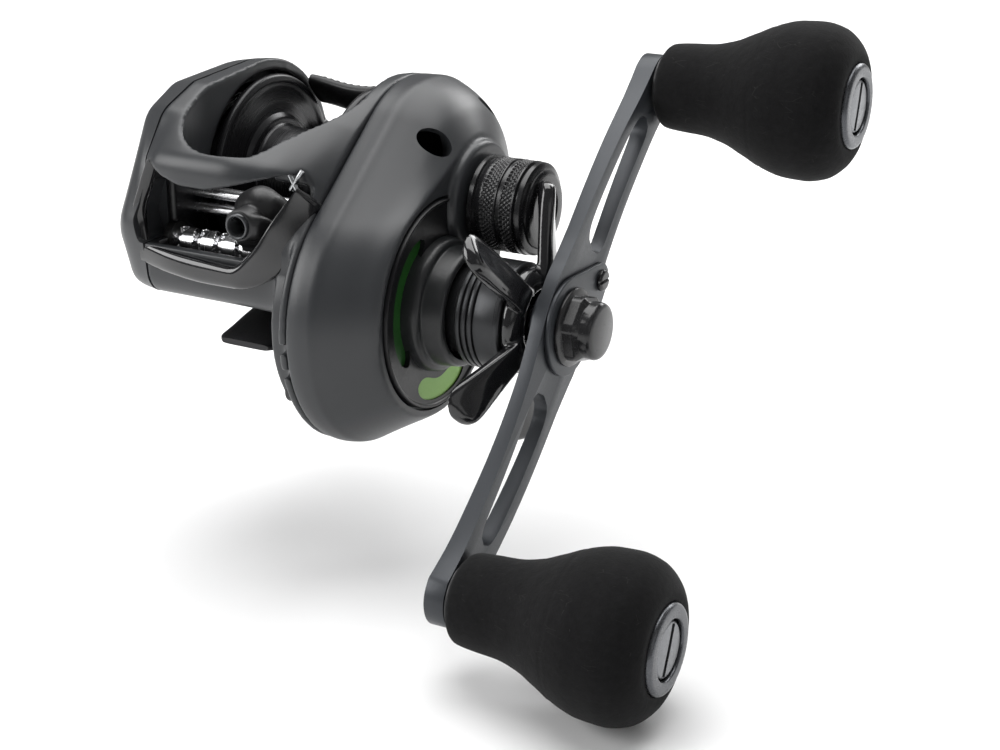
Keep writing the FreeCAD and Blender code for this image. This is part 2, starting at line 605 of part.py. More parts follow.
def make_drive_train():
    shaft = turned("drive_shaft", [("plate_in", "0"), ("drive_end", "0"), ("drive_end", "2.2"),
                                   ("blade_end", "2.2"), ("blade_end", "drive_radius"),
                                   ("21.8", "drive_radius"), ("21.8", "5"), ("21.2", "5"),
                                   ("21.2", "drive_radius"), ("plate_in", "drive_radius")])
    keep(shaft, "drive_shaft")
    ratchet = doc.addObject("PartDesign::Body", "stop_ratchet")
    sketch = new_sketch(ratchet, "ratchet_round", "YZ_Plane", "20.1")
    ring_id = sketch.addGeometry(Part.Circle(FreeCAD.Vector(0, 0, 0), FreeCAD.Vector(0, 0, 1), 6.2), False)
    sketch.addConstraint(Sketcher.Constraint("Coincident", ring_id, 3, -1, 1))
    sketch.addConstraint(Sketcher.Constraint("Radius", ring_id, 6.2))
    pad = ratchet.newObject("PartDesign::Pad", "ratchet_pad")
    pad.Profile = sketch
    pad.Length = 1
    tooth = new_sketch(ratchet, "ratchet_tooth", "YZ_Plane", "20.1")
    polygon(tooth, [("5.5", "-1.6"), ("7.6", "0.9"), ("7.6", "1.5"), ("5.5", "1.5")])
    tooth_pad = ratchet.newObject("PartDesign::Pad", "ratchet_tooth_pad")
    tooth_pad.Profile = tooth
    tooth_pad.Length = 1
    teeth = ratchet.newObject("PartDesign::PolarPattern", "ratchet_teeth")
    teeth.Originals = [tooth_pad]
    teeth.Axis = (tooth, ["N_Axis"])
    teeth.Angle = 360
    teeth.Occurrences = 10
    ratchet.Tip = teeth
    bore = new_sketch(ratchet, "ratchet_bore", "YZ_Plane", "20.1")
    hole = bore.addGeometry(Part.Circle(FreeCAD.Vector(0, 0, 0), FreeCAD.Vector(0, 0, 1), 2.5), False)
    bore.addConstraint(Sketcher.Constraint("Coincident", hole, 3, -1, 1))
    radius = bore.addConstraint(Sketcher.Constraint("Radius", hole, number("drive_radius")))
    bind(bore, "Constraints[%d]" % radius, "drive_radius")
    pocket = ratchet.newObject("PartDesign::Pocket", "ratchet_pocket")
    pocket.Profile = bore
    pocket.Length = 2
    pocket.Reversed = True
    place(ratchet, "0", "drive_y", "drive_z")
    keep(ratchet, "stop_ratchet")
    first = "main_x+1.4"
    names = ("drag_washer_inner", "drag_washer_steel", "drag_washer_outer")
    discs = []
    for i, name in enumerate(names):
        start = "%s+washer*%d" % (first, i)
        discs.append(ring(name, start, start + "+washer", "drag_radius", "drive_radius"))
    keep(discs[1], "drag_washer_steel")
    pair = doc.addObject("Part::Compound", "drag_washers_carbon")
    pair.Links = [discs[0], discs[2]]
    keep(pair, "drag_washers_carbon")
    start = first + "+washer*3"
    keep(ring("pressure_plate", start, start + "+1.2", "drag_radius-0.5", "drive_radius"), "pressure_plate")
    spring = turned("spring_washers", [(start + "+1.2", "drive_radius"), (start + "+1.8", "drive_radius"),
                                       (start + "+2.4", "5.6"), (start + "+1.8", "5.6")])
    keep(spring, "spring_washers")
    keep(ring("clutch_sleeve", start + "+2.45", "36.2", "clutch_sleeve", "drive_radius"), "clutch_sleeve")


def make_star():
    inner = "drive_radius+0.05"
    grooves = []
    for i in range(3):
        left = "collar_x+1+%.1f" % (i * 1.3)
        grooves += [(left, "collar_radius"), (left, "collar_radius-0.6"), (left + "+0.5", "collar_radius-0.6"),
                    (left + "+0.5", "collar_radius")]
    points = [("collar_x", inner), ("collar_x", "collar_radius")] + grooves
    points += [("collar_end-0.5", "collar_radius"), ("collar_end", "collar_radius-0.5"), ("collar_end", inner)]
    keep(turned("star_collar", points), "star_collar")
    hub = turned("star_hub", [("star_x", inner), ("star_x", "star_hub"), ("star_end-1.5", "star_hub"),
                              ("star_end", "star_hub-2"), ("star_end", inner)])
    arms = []
    for i in range(int(number("star_arms"))):
        angle = 62.0 + i * 360.0 / number("star_arms")
        arms += star_arm(i, angle)
    keep(joined("star_drag", [hub] + arms), "star_drag")


def star_arm(index, angle):
    """One arm: a leaning bar out to a paddle that turns back towards the body."""
    turn = FreeCAD.Rotation(FreeCAD.Vector(1, 0, 0), angle - 90)
    body = doc.addObject("PartDesign::Body", "star_bar_%d" % index)
    sketch = new_sketch(body, "star_bar_outline_%d" % index, "XZ_Plane", "-3")
    polygon(sketch, [("star_end-2.6", "5"), ("star_end-0.4", "5"), ("star_end-1.6", "star_radius-5"),
                     ("star_x+2.2", "star_radius"), ("star_x-0.2", "star_radius"), ("star_x", "star_radius-5")])
    pad = body.newObject("PartDesign::Pad", "star_bar_pad_%d" % index)
    pad.Profile = sketch
    pad.Length = 6
    place(body, "0", "drive_y", "drive_z", turn)
    return [body]


def make_tension_cap():
    points = [("cap_x", "collar_thread+0.05"), ("cap_x", "cap_radius"), ("37.4", "cap_radius"),
              ("37.7", "cap_radius-0.5"), ("38.5", "cap_radius-0.5"), ("38.8", "cap_radius"),
              ("42.6", "cap_radius"), ("43.2", "cap_radius-0.7"), ("cap_end", "cap_radius-0.9"),
              ("cap_end", "4.6"), ("cap_end-0.5", "4.2"), ("cap_end-0.5", "0"), ("42", "0"),
              ("42", "collar_thread+0.05")]
    keep(turned("tension_cap", points, "spool"), "tension_cap")
    keep(rod("tension_disc", "spool_shaft_end+0.1", "42", "2.6", "spool_y", "spool_z"), "tension_disc")


# ---------------------------------------------------------------- handle

KNOBS = (("upper", "1"), ("lower", "-1"))


def handle_point(distance):
    angle = number("crank_angle")
    return polar(distance, angle)


def make_handle():
    """The blade: a wide hub tapering to two round ends, with a long slot in each arm."""
    arms = []
    for i, way in enumerate(("1", "-1")):
        far = handle_point("crank*" + way)
        mid = handle_point("crank*0.5*" + way)
        near = [("drive_y", "drive_z", "blade_hub"), (mid[0], mid[1], "6.4")]
        arms.append(hull_slab("arm_root_%d" % i, near, "blade_x", "blade_end"))
        arms.append(hull_slab("arm_tip_%d" % i, [(mid[0], mid[1], "6.4"), (far[0], far[1], "blade_tip")],
                              "blade_x", "blade_end"))
    solid = joined("blade_solid", arms)
    tools = [rod("blade_bore", "blade_x-1", "blade_end+1", "drive_radius", "drive_y", "drive_z")]
    for i, (start, end) in enumerate((("15", "40"), ("-11.5", "-39"))):
        a, b = handle_point(start), handle_point(end)
        tools.append(hull_slab("arm_slot_%d" % i, [(a[0], a[1], "slot_width/2"), (b[0], b[1], "1.4")],
                               "blade_x-1", "blade_end+1"))
    for i, way in enumerate(("1", "-1")):
        spot = handle_point("crank*" + way)
        tools.append(rod("axle_hole_%d" % i, "blade_x-1", "blade_end+1", "axle_radius", *spot))
    tools.append(rod("retainer_hole", "blade_end-2", "blade_end+1", "0.8", *polar("12.3", 24.0)))
    keep(cut("handle_blade", solid, tools), "handle_blade")


def make_nut():
    """Flanged hexagon nut with a domed end, its retainer plate and screw."""
    across = number("nut_across")
    corners = []
    for i in range(7):
        angle = math.radians(60 * i + 12)
        corners.append(FreeCAD.Vector(0, math.cos(angle), math.sin(angle)) * (across / math.sqrt(3)))
    reach = FreeCAD.Vector(number("nut_end-0.2") - number("blade_end+1"), 0, 0)
    prism = Part.Face(Part.makePolygon(corners)).extrude(reach)
    dome_start = FreeCAD.Vector(-1, 0, 0)
    dome = Part.makeCone(across * 0.72, across * 0.47, reach.x + 1, dome_start, FreeCAD.Vector(1, 0, 0))
    prism = prism.common(dome)
    flange = Part.makeCylinder(number("nut_flange"), 1.2, FreeCAD.Vector(0, 0, 0), FreeCAD.Vector(1, 0, 0))
    bore = Part.makeCylinder(2.2, 5, FreeCAD.Vector(0, 0, 0), FreeCAD.Vector(1, 0, 0))
    keep(finish_shape("handle_nut", prism.fuse(flange).cut(bore).removeSplitter(), "blade_end+0.9",
                      "drive_y", "drive_z"), "handle_nut")
    spot = polar("12.3", 24.0)
    plate = hull_slab("retainer_plate", [("drive_y", "drive_z", "8.6"), (spot[0], spot[1], "3.4")],
                      "blade_end", "blade_end+0.9")
    holes = [rod("retainer_opening", "blade_end-1", "blade_end+2", "2.3", "drive_y", "drive_z"),
             rod("retainer_screw_hole", "blade_end-1", "blade_end+2", "0.8", *spot)]
    keep(cut("nut_retainer", plate, holes), "nut_retainer")
    head = rod("retainer_head", "blade_end+0.9", "blade_end+1.7", "1.9", *spot)
    stem = rod("retainer_stem", "blade_end-1.8", "blade_end+0.9", "0.8", *spot)
    slot = box("retainer_slot", "blade_end+1.3", spot[0] + "-2.5", spot[1] + "-0.25", "1", "5", "0.5")
    keep(cut("retainer_screw", joined("retainer_screw_solid", [head, stem]), [slot]), "retainer_screw")


def make_knob_axles():
    axles = []
    for side, way in KNOBS:
        y, z = handle_point("crank*" + way)
        points = [("blade_x+0.3", "0"), ("knob_end-3.1", "0"), ("knob_end-3.1", "axle_radius"),
                  ("blade_x+0.3", "axle_radius")]
        axles.append(turned("knob_axle_" + side, points, y=y, z=z))
    keep(joined("knob_axles", axles), "knob_axles")


def make_knob(side, way):
    """One knob: soft grip over a core, on two bearings round the axle, closed by a cap."""
    y, z = handle_point("crank*" + way)
    grip = turned("knob_grip_" + side, [("knob_x+0.6", "5.2"), ("knob_x+0.6", "neck_radius-0.3"),
                                        ("knob_x+3", "neck_radius+0.3"), ("knob_x+9", "neck_radius+1.2"),
                                        ("knob_x+14", "9.6"), ("knob_x+19", "12.4"), ("knob_x+24", "knob_radius"),
                                        ("knob_x+29", "knob_radius-0.7"), ("knob_end-3", "11"),
                                        ("knob_end-0.9", "knob_cap_radius+0.1"), ("knob_end-3", "knob_cap_radius+0.1"),
                                        ("knob_end-3", "5.2")], y=y, z=z)
    keep(grip, "knob_grip_" + side)
    core = turned("knob_core_" + side, [("knob_x", "knob_bore"), ("knob_x", "5.6"), ("knob_x+0.6", "5.6"),
                                        ("knob_x+0.6", "5.2"), ("knob_end-3", "5.2"), ("knob_end-3", "knob_bore"),
                                        ("knob_end-6", "knob_bore"), ("knob_end-6", "knob_bore-0.6"),
                                        ("knob_x+3.2", "knob_bore-0.6"), ("knob_x+3.2", "knob_bore")], y=y, z=z)
    keep(core, "knob_core_" + side)
    stations = (("in", "knob_x+0.5", "knob_x+3.2"), ("out", "knob_end-6", "knob_end-3.3"))
    pair = [bearing("knob_bearing_%s_%s" % (end, side), start, stop, "knob_bore", "axle_radius+run", y=y, z=z)
            for end, start, stop in stations]
    keep(joined("knob_bearings_" + side, pair), "knob_bearings_" + side)
    cap = turned("knob_cap_" + side, [("knob_end-3", "4.6"), ("knob_end-3", "knob_cap_radius"),
                                      ("knob_end-0.6", "knob_cap_radius"), ("knob_end", "knob_cap_radius-0.7"),
                                      ("knob_end", "4.6")], y=y, z=z)
    keep(cap, "knob_cap_" + side)
    insert = rod("knob_insert_blank_" + side, "knob_end-3", "knob_end-0.3", "4.6", y, z)
    slot = box("knob_insert_slot_" + side, "knob_end-1.1", y + "-3.6", z + "-0.5", "2", "7.2", "1")
    keep(cut("knob_insert_" + side, insert, [slot]), "knob_insert_" + side)


# ---------------------------------------------------------------- line guide and clutch

def make_line_guide():
    left = "guide_x-guide_width/2"
    block = slab("carriage_block", [("-30.6", "13.6"), ("-24.6", "13.6"), ("-24.6", "20.6"), ("-21.5", "20.6"),
                                    ("-21.5", "23.9"), ("-24.3", "23.9"), ("-24.3", "29.6"), ("-31", "30"),
                                    ("-33", "28"), ("-33.4", "20.2"), ("-31", "19.4")],
                 left, left + "+guide_width")
    snout = turned_along_y("carriage_snout", "eye_y-1.4", "-31", "3.4", "guide_x", "eye_z")
    solid = joined("carriage_solid", [block, snout])
    tools = [rod("carriage_worm_bore", "-10", "18", "worm_radius+0.15", "worm_y", "worm_z"),
             rod("carriage_rod_bore", "-10", "18", "rod_radius+0.05", "rod_y", "rod_low"),
             turned_along_y("eye_seat", "eye_y-2", "-30", "2.9", "guide_x", "eye_z"),
             box("line_way", "guide_x-2.2", "-32", "24.3", "4.4", "9", "4.2"),
             upright("pawl_seat", "13", "17", "1.5")]
    keep(cut("line_guide_carriage", solid, tools), "line_guide_carriage")
    outer = turned_along_y("eye_outer", "eye_y-1.4", "-31.6", "2.9", "guide_x", "eye_z")
    inner = turned_along_y("eye_inner", "eye_y-2", "-31", "eye_hole", "guide_x", "eye_z")
    keep(cut("line_guide_eye", outer, [inner]), "line_guide_eye")
    keep(upright("pawl", "13.9", "14.9", "1.45"), "pawl")
    keep(upright("pawl_cap", "12.9", "13.9", "1.45"), "pawl_cap")
    lands = []
    for i in range(6):
        start = "-13+%.2f" % (i * 4.45)
        lands += [(start, "1.8"), (start, "worm_radius"), (start + "+3.3", "worm_radius"), (start + "+3.3", "1.8")]
    shaft = turned("worm_shaft", [("palm_out+0.2", "0"), ("palm_out+0.2", "1.2"), ("-14", "1.2"), ("-14", "1.8")]
                   + lands + [("14", "1.8"), ("14", "1.2"), ("20.6", "1.2"), ("20.6", "0")], "worm")
    keep(shaft, "worm_shaft")
    rods = [rod("guide_rod_low", "-15.2", "15.2", "rod_radius", "rod_y", "rod_low"),
            rod("guide_rod_high", "-15.2", "15.2", "rod_radius", "rod_y", "rod_high")]
    keep(joined("guide_rods", rods), "guide_rods")


def turned_along_y(name, start, end, radius, x, z):
    piece = doc.addObject("Part::Cylinder", name)
    bind(piece, "Radius", radius)
    bind(piece, "Height", "%s-(%s)" % (end, start))
    place(piece, x, start, z, FreeCAD.Rotation(FreeCAD.Vector(1, 0, 0), -90))
    return piece


def upright(name, bottom, top, radius):
    """A round piece on the worm's centre line, standing under the carriage."""
    piece = doc.addObject("Part::Cylinder", name)
    bind(piece, "Radius", radius)
    bind(piece, "Height", "%s-(%s)" % (top, bottom))
    place(piece, "guide_x", "worm_y", bottom)
    return piece


def make_thumb_bar():
    turn = FreeCAD.Rotation(FreeCAD.Vector(1, 0, 0), number("bar_angle"))
    bar = doc.addObject("PartDesign::Body", "thumb_bar")
    sketch = new_sketch(bar, "bar_outline", "YZ_Plane", "-bar_half")
    polygon(sketch, [("bar_inner", "-bar_long/2"), ("bar_inner+bar_thick*0.6", "-bar_long/2"),
                     ("bar_inner+bar_thick", "-bar_long/2+1.5"), ("bar_inner+bar_thick", "bar_long/2-1"),
                     ("bar_inner+bar_thick-1", "bar_long/2"), ("bar_inner+0.6", "bar_long/2"),
                     ("bar_inner", "bar_long/2-0.8")])
    pad = bar.newObject("PartDesign::Pad", "bar_pad")
    pad.Profile = sketch
    bind(pad, "Length", "bar_half*2")
    place(bar, "0", "spool_y", "spool_z", turn)
    keep(bar, "thumb_bar")


def yoke_ends():
    """The two posts stand either side of the pinion, square to the line between the shafts."""
    angle = mesh_angle("drive", "spool") + 90
    return [polar("post_offset*" + way, angle, AXES["spool"]) for way in ("1", "-1")]


def yoke_hull(name, start, end, radius):
    return hull_slab(name, [(y, z, radius) for y, z in yoke_ends()], start, end)


def make_yoke():
    """The clutch yoke rides in the pinion's groove, on two posts beside it."""
    ends = yoke_ends()
    blank = joined("yoke_blank", [
        yoke_hull("yoke_bar", "yoke_x", "yoke_x+yoke_thick", "yoke_width"),
        rod("yoke_eye", "yoke_x", "yoke_x+yoke_thick", "yoke_eye_radius", "spool_y", "spool_z")])
    open_way = polar("8", mesh_angle("drive", "spool"), AXES["spool"])
    fork = hull_slab("yoke_fork", [("spool_y", "spool_z", "2.3"), (open_way[0], open_way[1], "2.3")],
                     "yoke_x-1", "yoke_x+yoke_thick+1")
    holes = [rod("yoke_hole_%d" % i, "yoke_x-1", "yoke_x+2", "post_radius+0.06", *ends[i]) for i in range(2)]
    keep(cut("yoke_cut", blank, [fork] + holes), "clutch_yoke")
    posts = [rod("yoke_post_%d" % i, "plate_out", "yoke_x+yoke_thick+yoke_travel+0.2", "post_radius", *ends[i])
             for i in range(2)]
    keep(joined("yoke_posts", posts), "yoke_posts")


make_frame()
make_foot()
make_trim()
make_handle_cover()
make_accent()
make_cover_screws()
make_palm_cover()
make_gears()
make_spool()
make_bearings()
make_drive_train()
make_star()
make_tension_cap()
make_handle()
make_nut()
make_knob_axles()
for knob_side, knob_way in KNOBS:
    make_knob(knob_side, knob_way)
make_line_guide()
make_thumb_bar()
make_yoke()
doc.recompute()

broken = [thing.Name for thing in doc.Objects if "Invalid" in thing.State or "Error" in thing.State]
if broken:
    raise RuntimeError("failed objects: " + ", ".join(broken))
os.makedirs("parts", exist_ok=True)
for piece in PARTS:
    if piece.Shape.isNull() or not piece.Shape.isValid():
        raise RuntimeError("bad shape: " + piece.Label)
    piece.Shape.exportStep("parts/%s.step" % piece.Label)
    print("%-24s %9.1f mm3  %d solid(s)" % (piece.Label, piece.Shape.Volume, len(piece.Shape.Solids)))
print(len(PARTS), "pieces")
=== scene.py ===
# %% [markdown]
# # A low-profile baitcasting reel
# The reel hangs by its foot in the shared frame: +X along the spool's axis towards the
# handle, -Y the way the line leaves, +Z up.  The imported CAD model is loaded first, and
# everything that is made here is put round it.  Shapes are worked out in millimetres.

# %% load the frame
import json
import math

import bmesh
import bpy
import numpy as np
from mathutils import Matrix, Vector


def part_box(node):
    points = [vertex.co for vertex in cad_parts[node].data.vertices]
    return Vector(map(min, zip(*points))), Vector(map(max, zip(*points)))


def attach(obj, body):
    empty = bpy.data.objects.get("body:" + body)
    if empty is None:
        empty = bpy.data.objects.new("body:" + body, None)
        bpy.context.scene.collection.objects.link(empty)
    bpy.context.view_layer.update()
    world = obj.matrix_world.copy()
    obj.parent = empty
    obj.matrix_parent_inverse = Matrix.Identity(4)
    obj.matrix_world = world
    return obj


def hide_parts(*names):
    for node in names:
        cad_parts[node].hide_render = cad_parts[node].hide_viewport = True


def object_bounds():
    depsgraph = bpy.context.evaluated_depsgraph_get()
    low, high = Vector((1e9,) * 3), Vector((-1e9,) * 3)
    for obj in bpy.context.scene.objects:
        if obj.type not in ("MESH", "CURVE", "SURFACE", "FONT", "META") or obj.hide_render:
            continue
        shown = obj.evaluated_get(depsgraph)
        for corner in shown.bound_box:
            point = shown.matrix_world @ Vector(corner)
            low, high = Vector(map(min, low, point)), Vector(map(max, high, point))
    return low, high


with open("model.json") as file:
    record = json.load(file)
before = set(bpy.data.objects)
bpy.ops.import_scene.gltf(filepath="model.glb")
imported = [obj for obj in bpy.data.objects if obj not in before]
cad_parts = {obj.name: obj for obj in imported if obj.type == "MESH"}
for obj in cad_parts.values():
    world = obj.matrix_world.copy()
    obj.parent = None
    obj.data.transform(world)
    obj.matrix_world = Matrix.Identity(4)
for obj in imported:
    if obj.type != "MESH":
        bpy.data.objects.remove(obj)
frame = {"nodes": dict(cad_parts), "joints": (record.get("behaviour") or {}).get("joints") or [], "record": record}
cad_low, cad_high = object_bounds()
MM = 0.001
print("CAD box in mm:", [round(v / MM, 1) for v in (*cad_low, *cad_high)])

# %% [markdown]
# ## The axes that everything turns about
# Four shafts run side by side along X.  Their places come from the frame's own joints,
# so that a new pack carries every piece along with it.

# %% shafts and stations
pivots = {joint["name"]: np.array(joint.get("pos_m", (0, 0, 0))) / MM for joint in frame["joints"]}
SPOOL = pivots["spool_spin"][1:]
DRIVE = pivots["handle_crank"][1:]
WORM = pivots["worm_spin"][1:]
KNOBS = {"upper": pivots["knob_upper_spin"][1:], "lower": pivots["knob_lower_spin"][1:]}


def span(node):
    """The lowest and highest corner of a CAD node, in millimetres."""
    low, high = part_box(node)
    return np.array(low) / MM, np.array(high) / MM


WELL = 18.3  # radius of the round room the spool runs in
print("spool axis", SPOOL, "drive axis", DRIVE, "worm axis", WORM)

# %% [markdown]
# ## Tools for surfaces
# Three kinds of surface make almost the whole reel: a grid of rows that close on
# themselves, a profile turned about a shaft, and a loft of stretched outlines.  Each is
# worked out as whole numpy arrays and handed to Blender in one go.

# %% grids
def full_turn(count):
    """Angles at equal steps once round, the last one step short of the first."""
    return np.linspace(0, 2 * np.pi, count, endpoint=False)


def heading(degrees):
    """The unit vector at this angle in the YZ plane, and the one a quarter turn on."""
    a = math.radians(degrees)
    return np.array([math.cos(a), math.sin(a)]), np.array([-math.sin(a), math.cos(a)])


def link_object(name, data):
    """A new object in the scene around mesh, light or camera data."""
    thing = bpy.data.objects.new(name, data)
    bpy.context.scene.collection.objects.link(thing)
    return thing


def mesh_object(name, points, faces, crease=32.0):
    """A mesh object from millimetre points; edges sharper than crease degrees stay sharp."""
    mesh = bpy.data.meshes.new(name)
    mesh.from_pydata((np.asarray(points, float) * MM).tolist(), [], [tuple(f) for f in faces])
    mesh.update()
    thing = link_object(name, mesh)
    soften(thing, crease)
    return thing


def soften(thing, crease=32.0):
    """Smooth shading, with the edges over the crease angle kept sharp."""
    thing.data.shade_smooth()
    thing.data.set_sharp_from_angle(angle=math.radians(crease))


def grid_faces(rows, columns, close_rows=False):
    """Quads between neighbouring rows; columns always close on themselves."""
    last = rows if close_rows else rows - 1
    r, c = np.meshgrid(np.arange(last), np.arange(columns), indexing="ij")
    r2, c2 = (r + 1) % rows, (c + 1) % columns
    quads = np.stack([r * columns + c, r * columns + c2, r2 * columns + c2, r2 * columns + c], -1)
    return quads.reshape(-1, 4)


def closed_grid(name, rings, close_rows=False, crease=32.0):
    """A closed skin over a stack of rings, each an array of points: sides are quads between
    rings, and the two end rings are filled with a fan round their mean point."""
    rings = np.asarray(rings, float)
    rows, columns, _ = rings.shape
    points = rings.reshape(-1, 3)
    faces = grid_faces(rows, columns, close_rows).tolist()
    if not close_rows:
        ends = np.stack([rings[0].mean(0), rings[-1].mean(0)])
        first, last = len(points), len(points) + 1
        points = np.vstack([points, ends])
        around = np.arange(columns)
        after = (around + 1) % columns
        top = (rows - 1) * columns
        faces += np.stack([np.full(columns, first), after, around], -1).tolist()
        faces += np.stack([np.full(columns, last), top + around, top + after], -1).tolist()
    thing = mesh_object(name, points, faces, crease)
    return face_outwards(thing, crease)


def face_outwards(thing, crease=32.0):
    """Merge doubled points and turn every face outwards."""
    work = bmesh.new()
    work.from_mesh(thing.data)
    bmesh.ops.remove_doubles(work, verts=work.verts, dist=1e-7)
    bmesh.ops.recalc_face_normals(work, faces=work.faces)
    work.to_mesh(thing.data)
    work.free()
    soften(thing, crease)
    return thing


# %% [markdown]
# A turned part is its half profile swung round a shaft.  Machined corners are never
# quite sharp, so a profile's corners are first replaced by short curves.

# %% turning
def rounded(corners, radius=0.3, steps=4, closed=True):
    """Each corner becomes a quadratic curve between points one radius (or 45% of the
    shorter side) before and after it: (1-t)^2 A + 2t(1-t) B + t^2 C."""
    corners = np.asarray(corners, float)
    before = np.roll(corners, 1, 0) - corners
    after = np.roll(corners, -1, 0) - corners
    length_b = np.linalg.norm(before, axis=1, keepdims=True)
    length_a = np.linalg.norm(after, axis=1, keepdims=True)
    reach = np.minimum(np.broadcast_to(np.reshape(radius, (-1, 1)), length_b.shape),
                       0.45 * np.minimum(length_a, length_b))
    start = corners + before / np.maximum(length_b, 1e-9) * reach
    end = corners + after / np.maximum(length_a, 1e-9) * reach
    t = np.linspace(0, 1, steps)[None, :, None]
    curve = (1 - t) ** 2 * start[:, None] + 2 * t * (1 - t) * corners[:, None] + t ** 2 * end[:, None]
    if not closed:
        curve[0], curve[-1] = corners[0], corners[-1]
    return curve.reshape(-1, corners.shape[1])


def turned(name, profile, shaft, segments=128, crease=32.0, relief=None):
    """A closed (x, radius) profile turned about a shaft parallel to X: each point becomes
    (x, y0 + r cos a, z0 + r sin a).  relief(x, r, a) may change the radius."""
    profile = np.asarray(profile, float)
    angle = full_turn(segments)
    x = np.repeat(profile[:, :1], segments, 1)
    radius = np.repeat(profile[:, 1:2], segments, 1)
    angles = np.repeat(angle[None], len(profile), 0)
    if relief is not None:
        radius = relief(x, radius, angles)
    rings = np.stack([x, shaft[0] + radius * np.cos(angles), shaft[1] + radius * np.sin(angles)], -1)
    return closed_grid(name, rings, close_rows=True, crease=crease)


# %% [markdown]
# The covers are lofts.  Every section is the outline of a rubber band stretched round a
# few discs, and the discs shrink and shift from one section to the next.

# %% lofting
def band(discs, count=180):
    """The outline round discs (y, z, r): for each direction n the band touches the disc
    with the largest c.n + r, at c + r n; then it is resampled to even arc length."""
    discs = np.asarray(discs, float)
    angle = full_turn(1440)
    normal = np.stack([np.cos(angle), np.sin(angle)], -1)
    reach = discs[:, :2] @ normal.T + discs[:, 2:3]
    best = reach.argmax(0)
    outline = discs[best, :2] + discs[best, 2:3] * normal
    return even(outline, count)


def even(outline, count):
    """A closed outline resampled at equal steps along its length."""
    closed = np.vstack([outline, outline[:1]])
    length = np.concatenate([[0], np.cumsum(np.linalg.norm(np.diff(closed, axis=0), axis=1))])
    where = np.linspace(0, length[-1], count, endpoint=False)
    return np.stack([np.interp(where, length, closed[:, k]) for k in (0, 1)], -1)


def curve_through(stations, values, where):
    """A smooth curve through (station, value) pairs: cubic Hermite with each slope the
    harmonic mean of its two neighbours, so that it never overshoots."""
    x, y = np.asarray(stations, float), np.asarray(values, float)
    step = np.diff(y) / np.diff(x)
    slope = np.zeros_like(y)
    product = step[:-1] * step[1:]
    total = np.where(product > 0, step[:-1] + step[1:], 1.0)
    slope[1:-1] = np.where(product > 0, 2 * product / total, 0)
    slope[0], slope[-1] = step[0], step[-1]
    where = np.clip(np.asarray(where, float), x[0], x[-1])
    k = np.clip(np.searchsorted(x, where, side="right") - 1, 0, len(x) - 2)
    wide = x[k + 1] - x[k]
    t = (where - x[k]) / wide
    return ((2 * t ** 3 - 3 * t ** 2 + 1) * y[k] + (t ** 3 - 2 * t ** 2 + t) * wide * slope[k]
            + (3 * t ** 2 - 2 * t ** 3) * y[k + 1] + (t ** 3 - t ** 2) * wide * slope[k + 1])


def loft(name, stations, disc_tables, where, inset=0.0, crease=32.0):
    """Bands at each x in where; disc_tables holds, per disc, rows (y, z, r) at the stations."""
    rings = []
    for x in where:
        discs = [[float(curve_through(stations, np.asarray(table)[:, k], x)) for k in range(3)]
                 for table in disc_tables]
        discs = [(y, z, r - inset) for y, z, r in discs]
        outline = band(discs)
        rings.append(np.column_stack([np.full(len(outline), x), outline]))
    return closed_grid(name, rings, crease=crease)


# %% [markdown]
# Openings are cut with Blender's Boolean, and a casting's soft edges come from a voxel
# remesh followed by a little smoothing.

# %% cutting and melting
def settle(thing):
    """Put the result of the modifiers into the mesh and drop them."""
    graph = bpy.context.evaluated_depsgraph_get()
    result = bpy.data.meshes.new_from_object(thing.evaluated_get(graph))
    thing.modifiers.clear()
    old = thing.data
    thing.data = result
    bpy.data.meshes.remove(old)
    return thing


def combine(base, tools, operation="DIFFERENCE"):
    """Cut the tools from the base, or join them to it, and throw the tools away."""
    for tool in tools:
        step = base.modifiers.new("step", "BOOLEAN")
        step.operation, step.solver, step.object = operation, "MANIFOLD", tool
        bpy.context.view_layer.update()
        settle(base)
        bpy.data.objects.remove(tool)
    return base


def melt(thing, voxel=0.35, rounds=6, crease=180.0, keep=1.0):
    """One skin of small voxels over everything, then smoothed, as a casting is.  A keep
    under 1 thins the mesh to that share of its faces where the skin is flat."""
    skin = thing.modifiers.new("skin", "REMESH")
    skin.mode, skin.voxel_size = "VOXEL", voxel * MM
    ease = thing.modifiers.new("ease", "SMOOTH")
    ease.factor, ease.iterations = 0.5, rounds
    if keep < 1.0:
        thing.modifiers.new("thin", "DECIMATE").ratio = keep
    settle(thing)
    soften(thing, crease)
    return thing


def bevelled(thing, width, segments, angle):
    """Round off every edge sharper than angle, in degrees, by width."""
    edge = thing.modifiers.new("edge", "BEVEL")
    edge.width, edge.segments, edge.limit_method = width * MM, segments, "ANGLE"
    edge.angle_limit = math.radians(angle)
    settle(thing)
    soften(thing, 40.0)
    return thing


def rod_along(axis, centre, radius, start, end, segments=96):
    """A plain closed cylinder along X, Y or Z."""
    angle = full_turn(segments)
    first, second = [k for k in range(3) if k != axis]
    rings = np.zeros((2, segments, 3))
    rings[:, :, axis] = np.array([[start], [end]])
    rings[:, :, first] = centre[0] + radius * np.cos(angle)
    rings[:, :, second] = centre[1] + radius * np.sin(angle)
    return closed_grid("rod", rings)


def prism(axis, outline, start, end):
    """A flat outline carried straight along X, Y or Z."""
    outline = np.asarray(outline, float)
    first, second = [k for k in range(3) if k != axis]
    rings = np.zeros((2, len(outline), 3))
    rings[:, :, axis] = np.array([[start], [end]])
    rings[:, :, first], rings[:, :, second] = outline[:, 0], outline[:, 1]
    points = rings.reshape(-1, 3)
    n = len(outline)
    faces = grid_faces(2, n).tolist() + [list(range(n))[::-1], list(range(n, 2 * n))]
    return face_outwards(mesh_object("prism", points, faces))


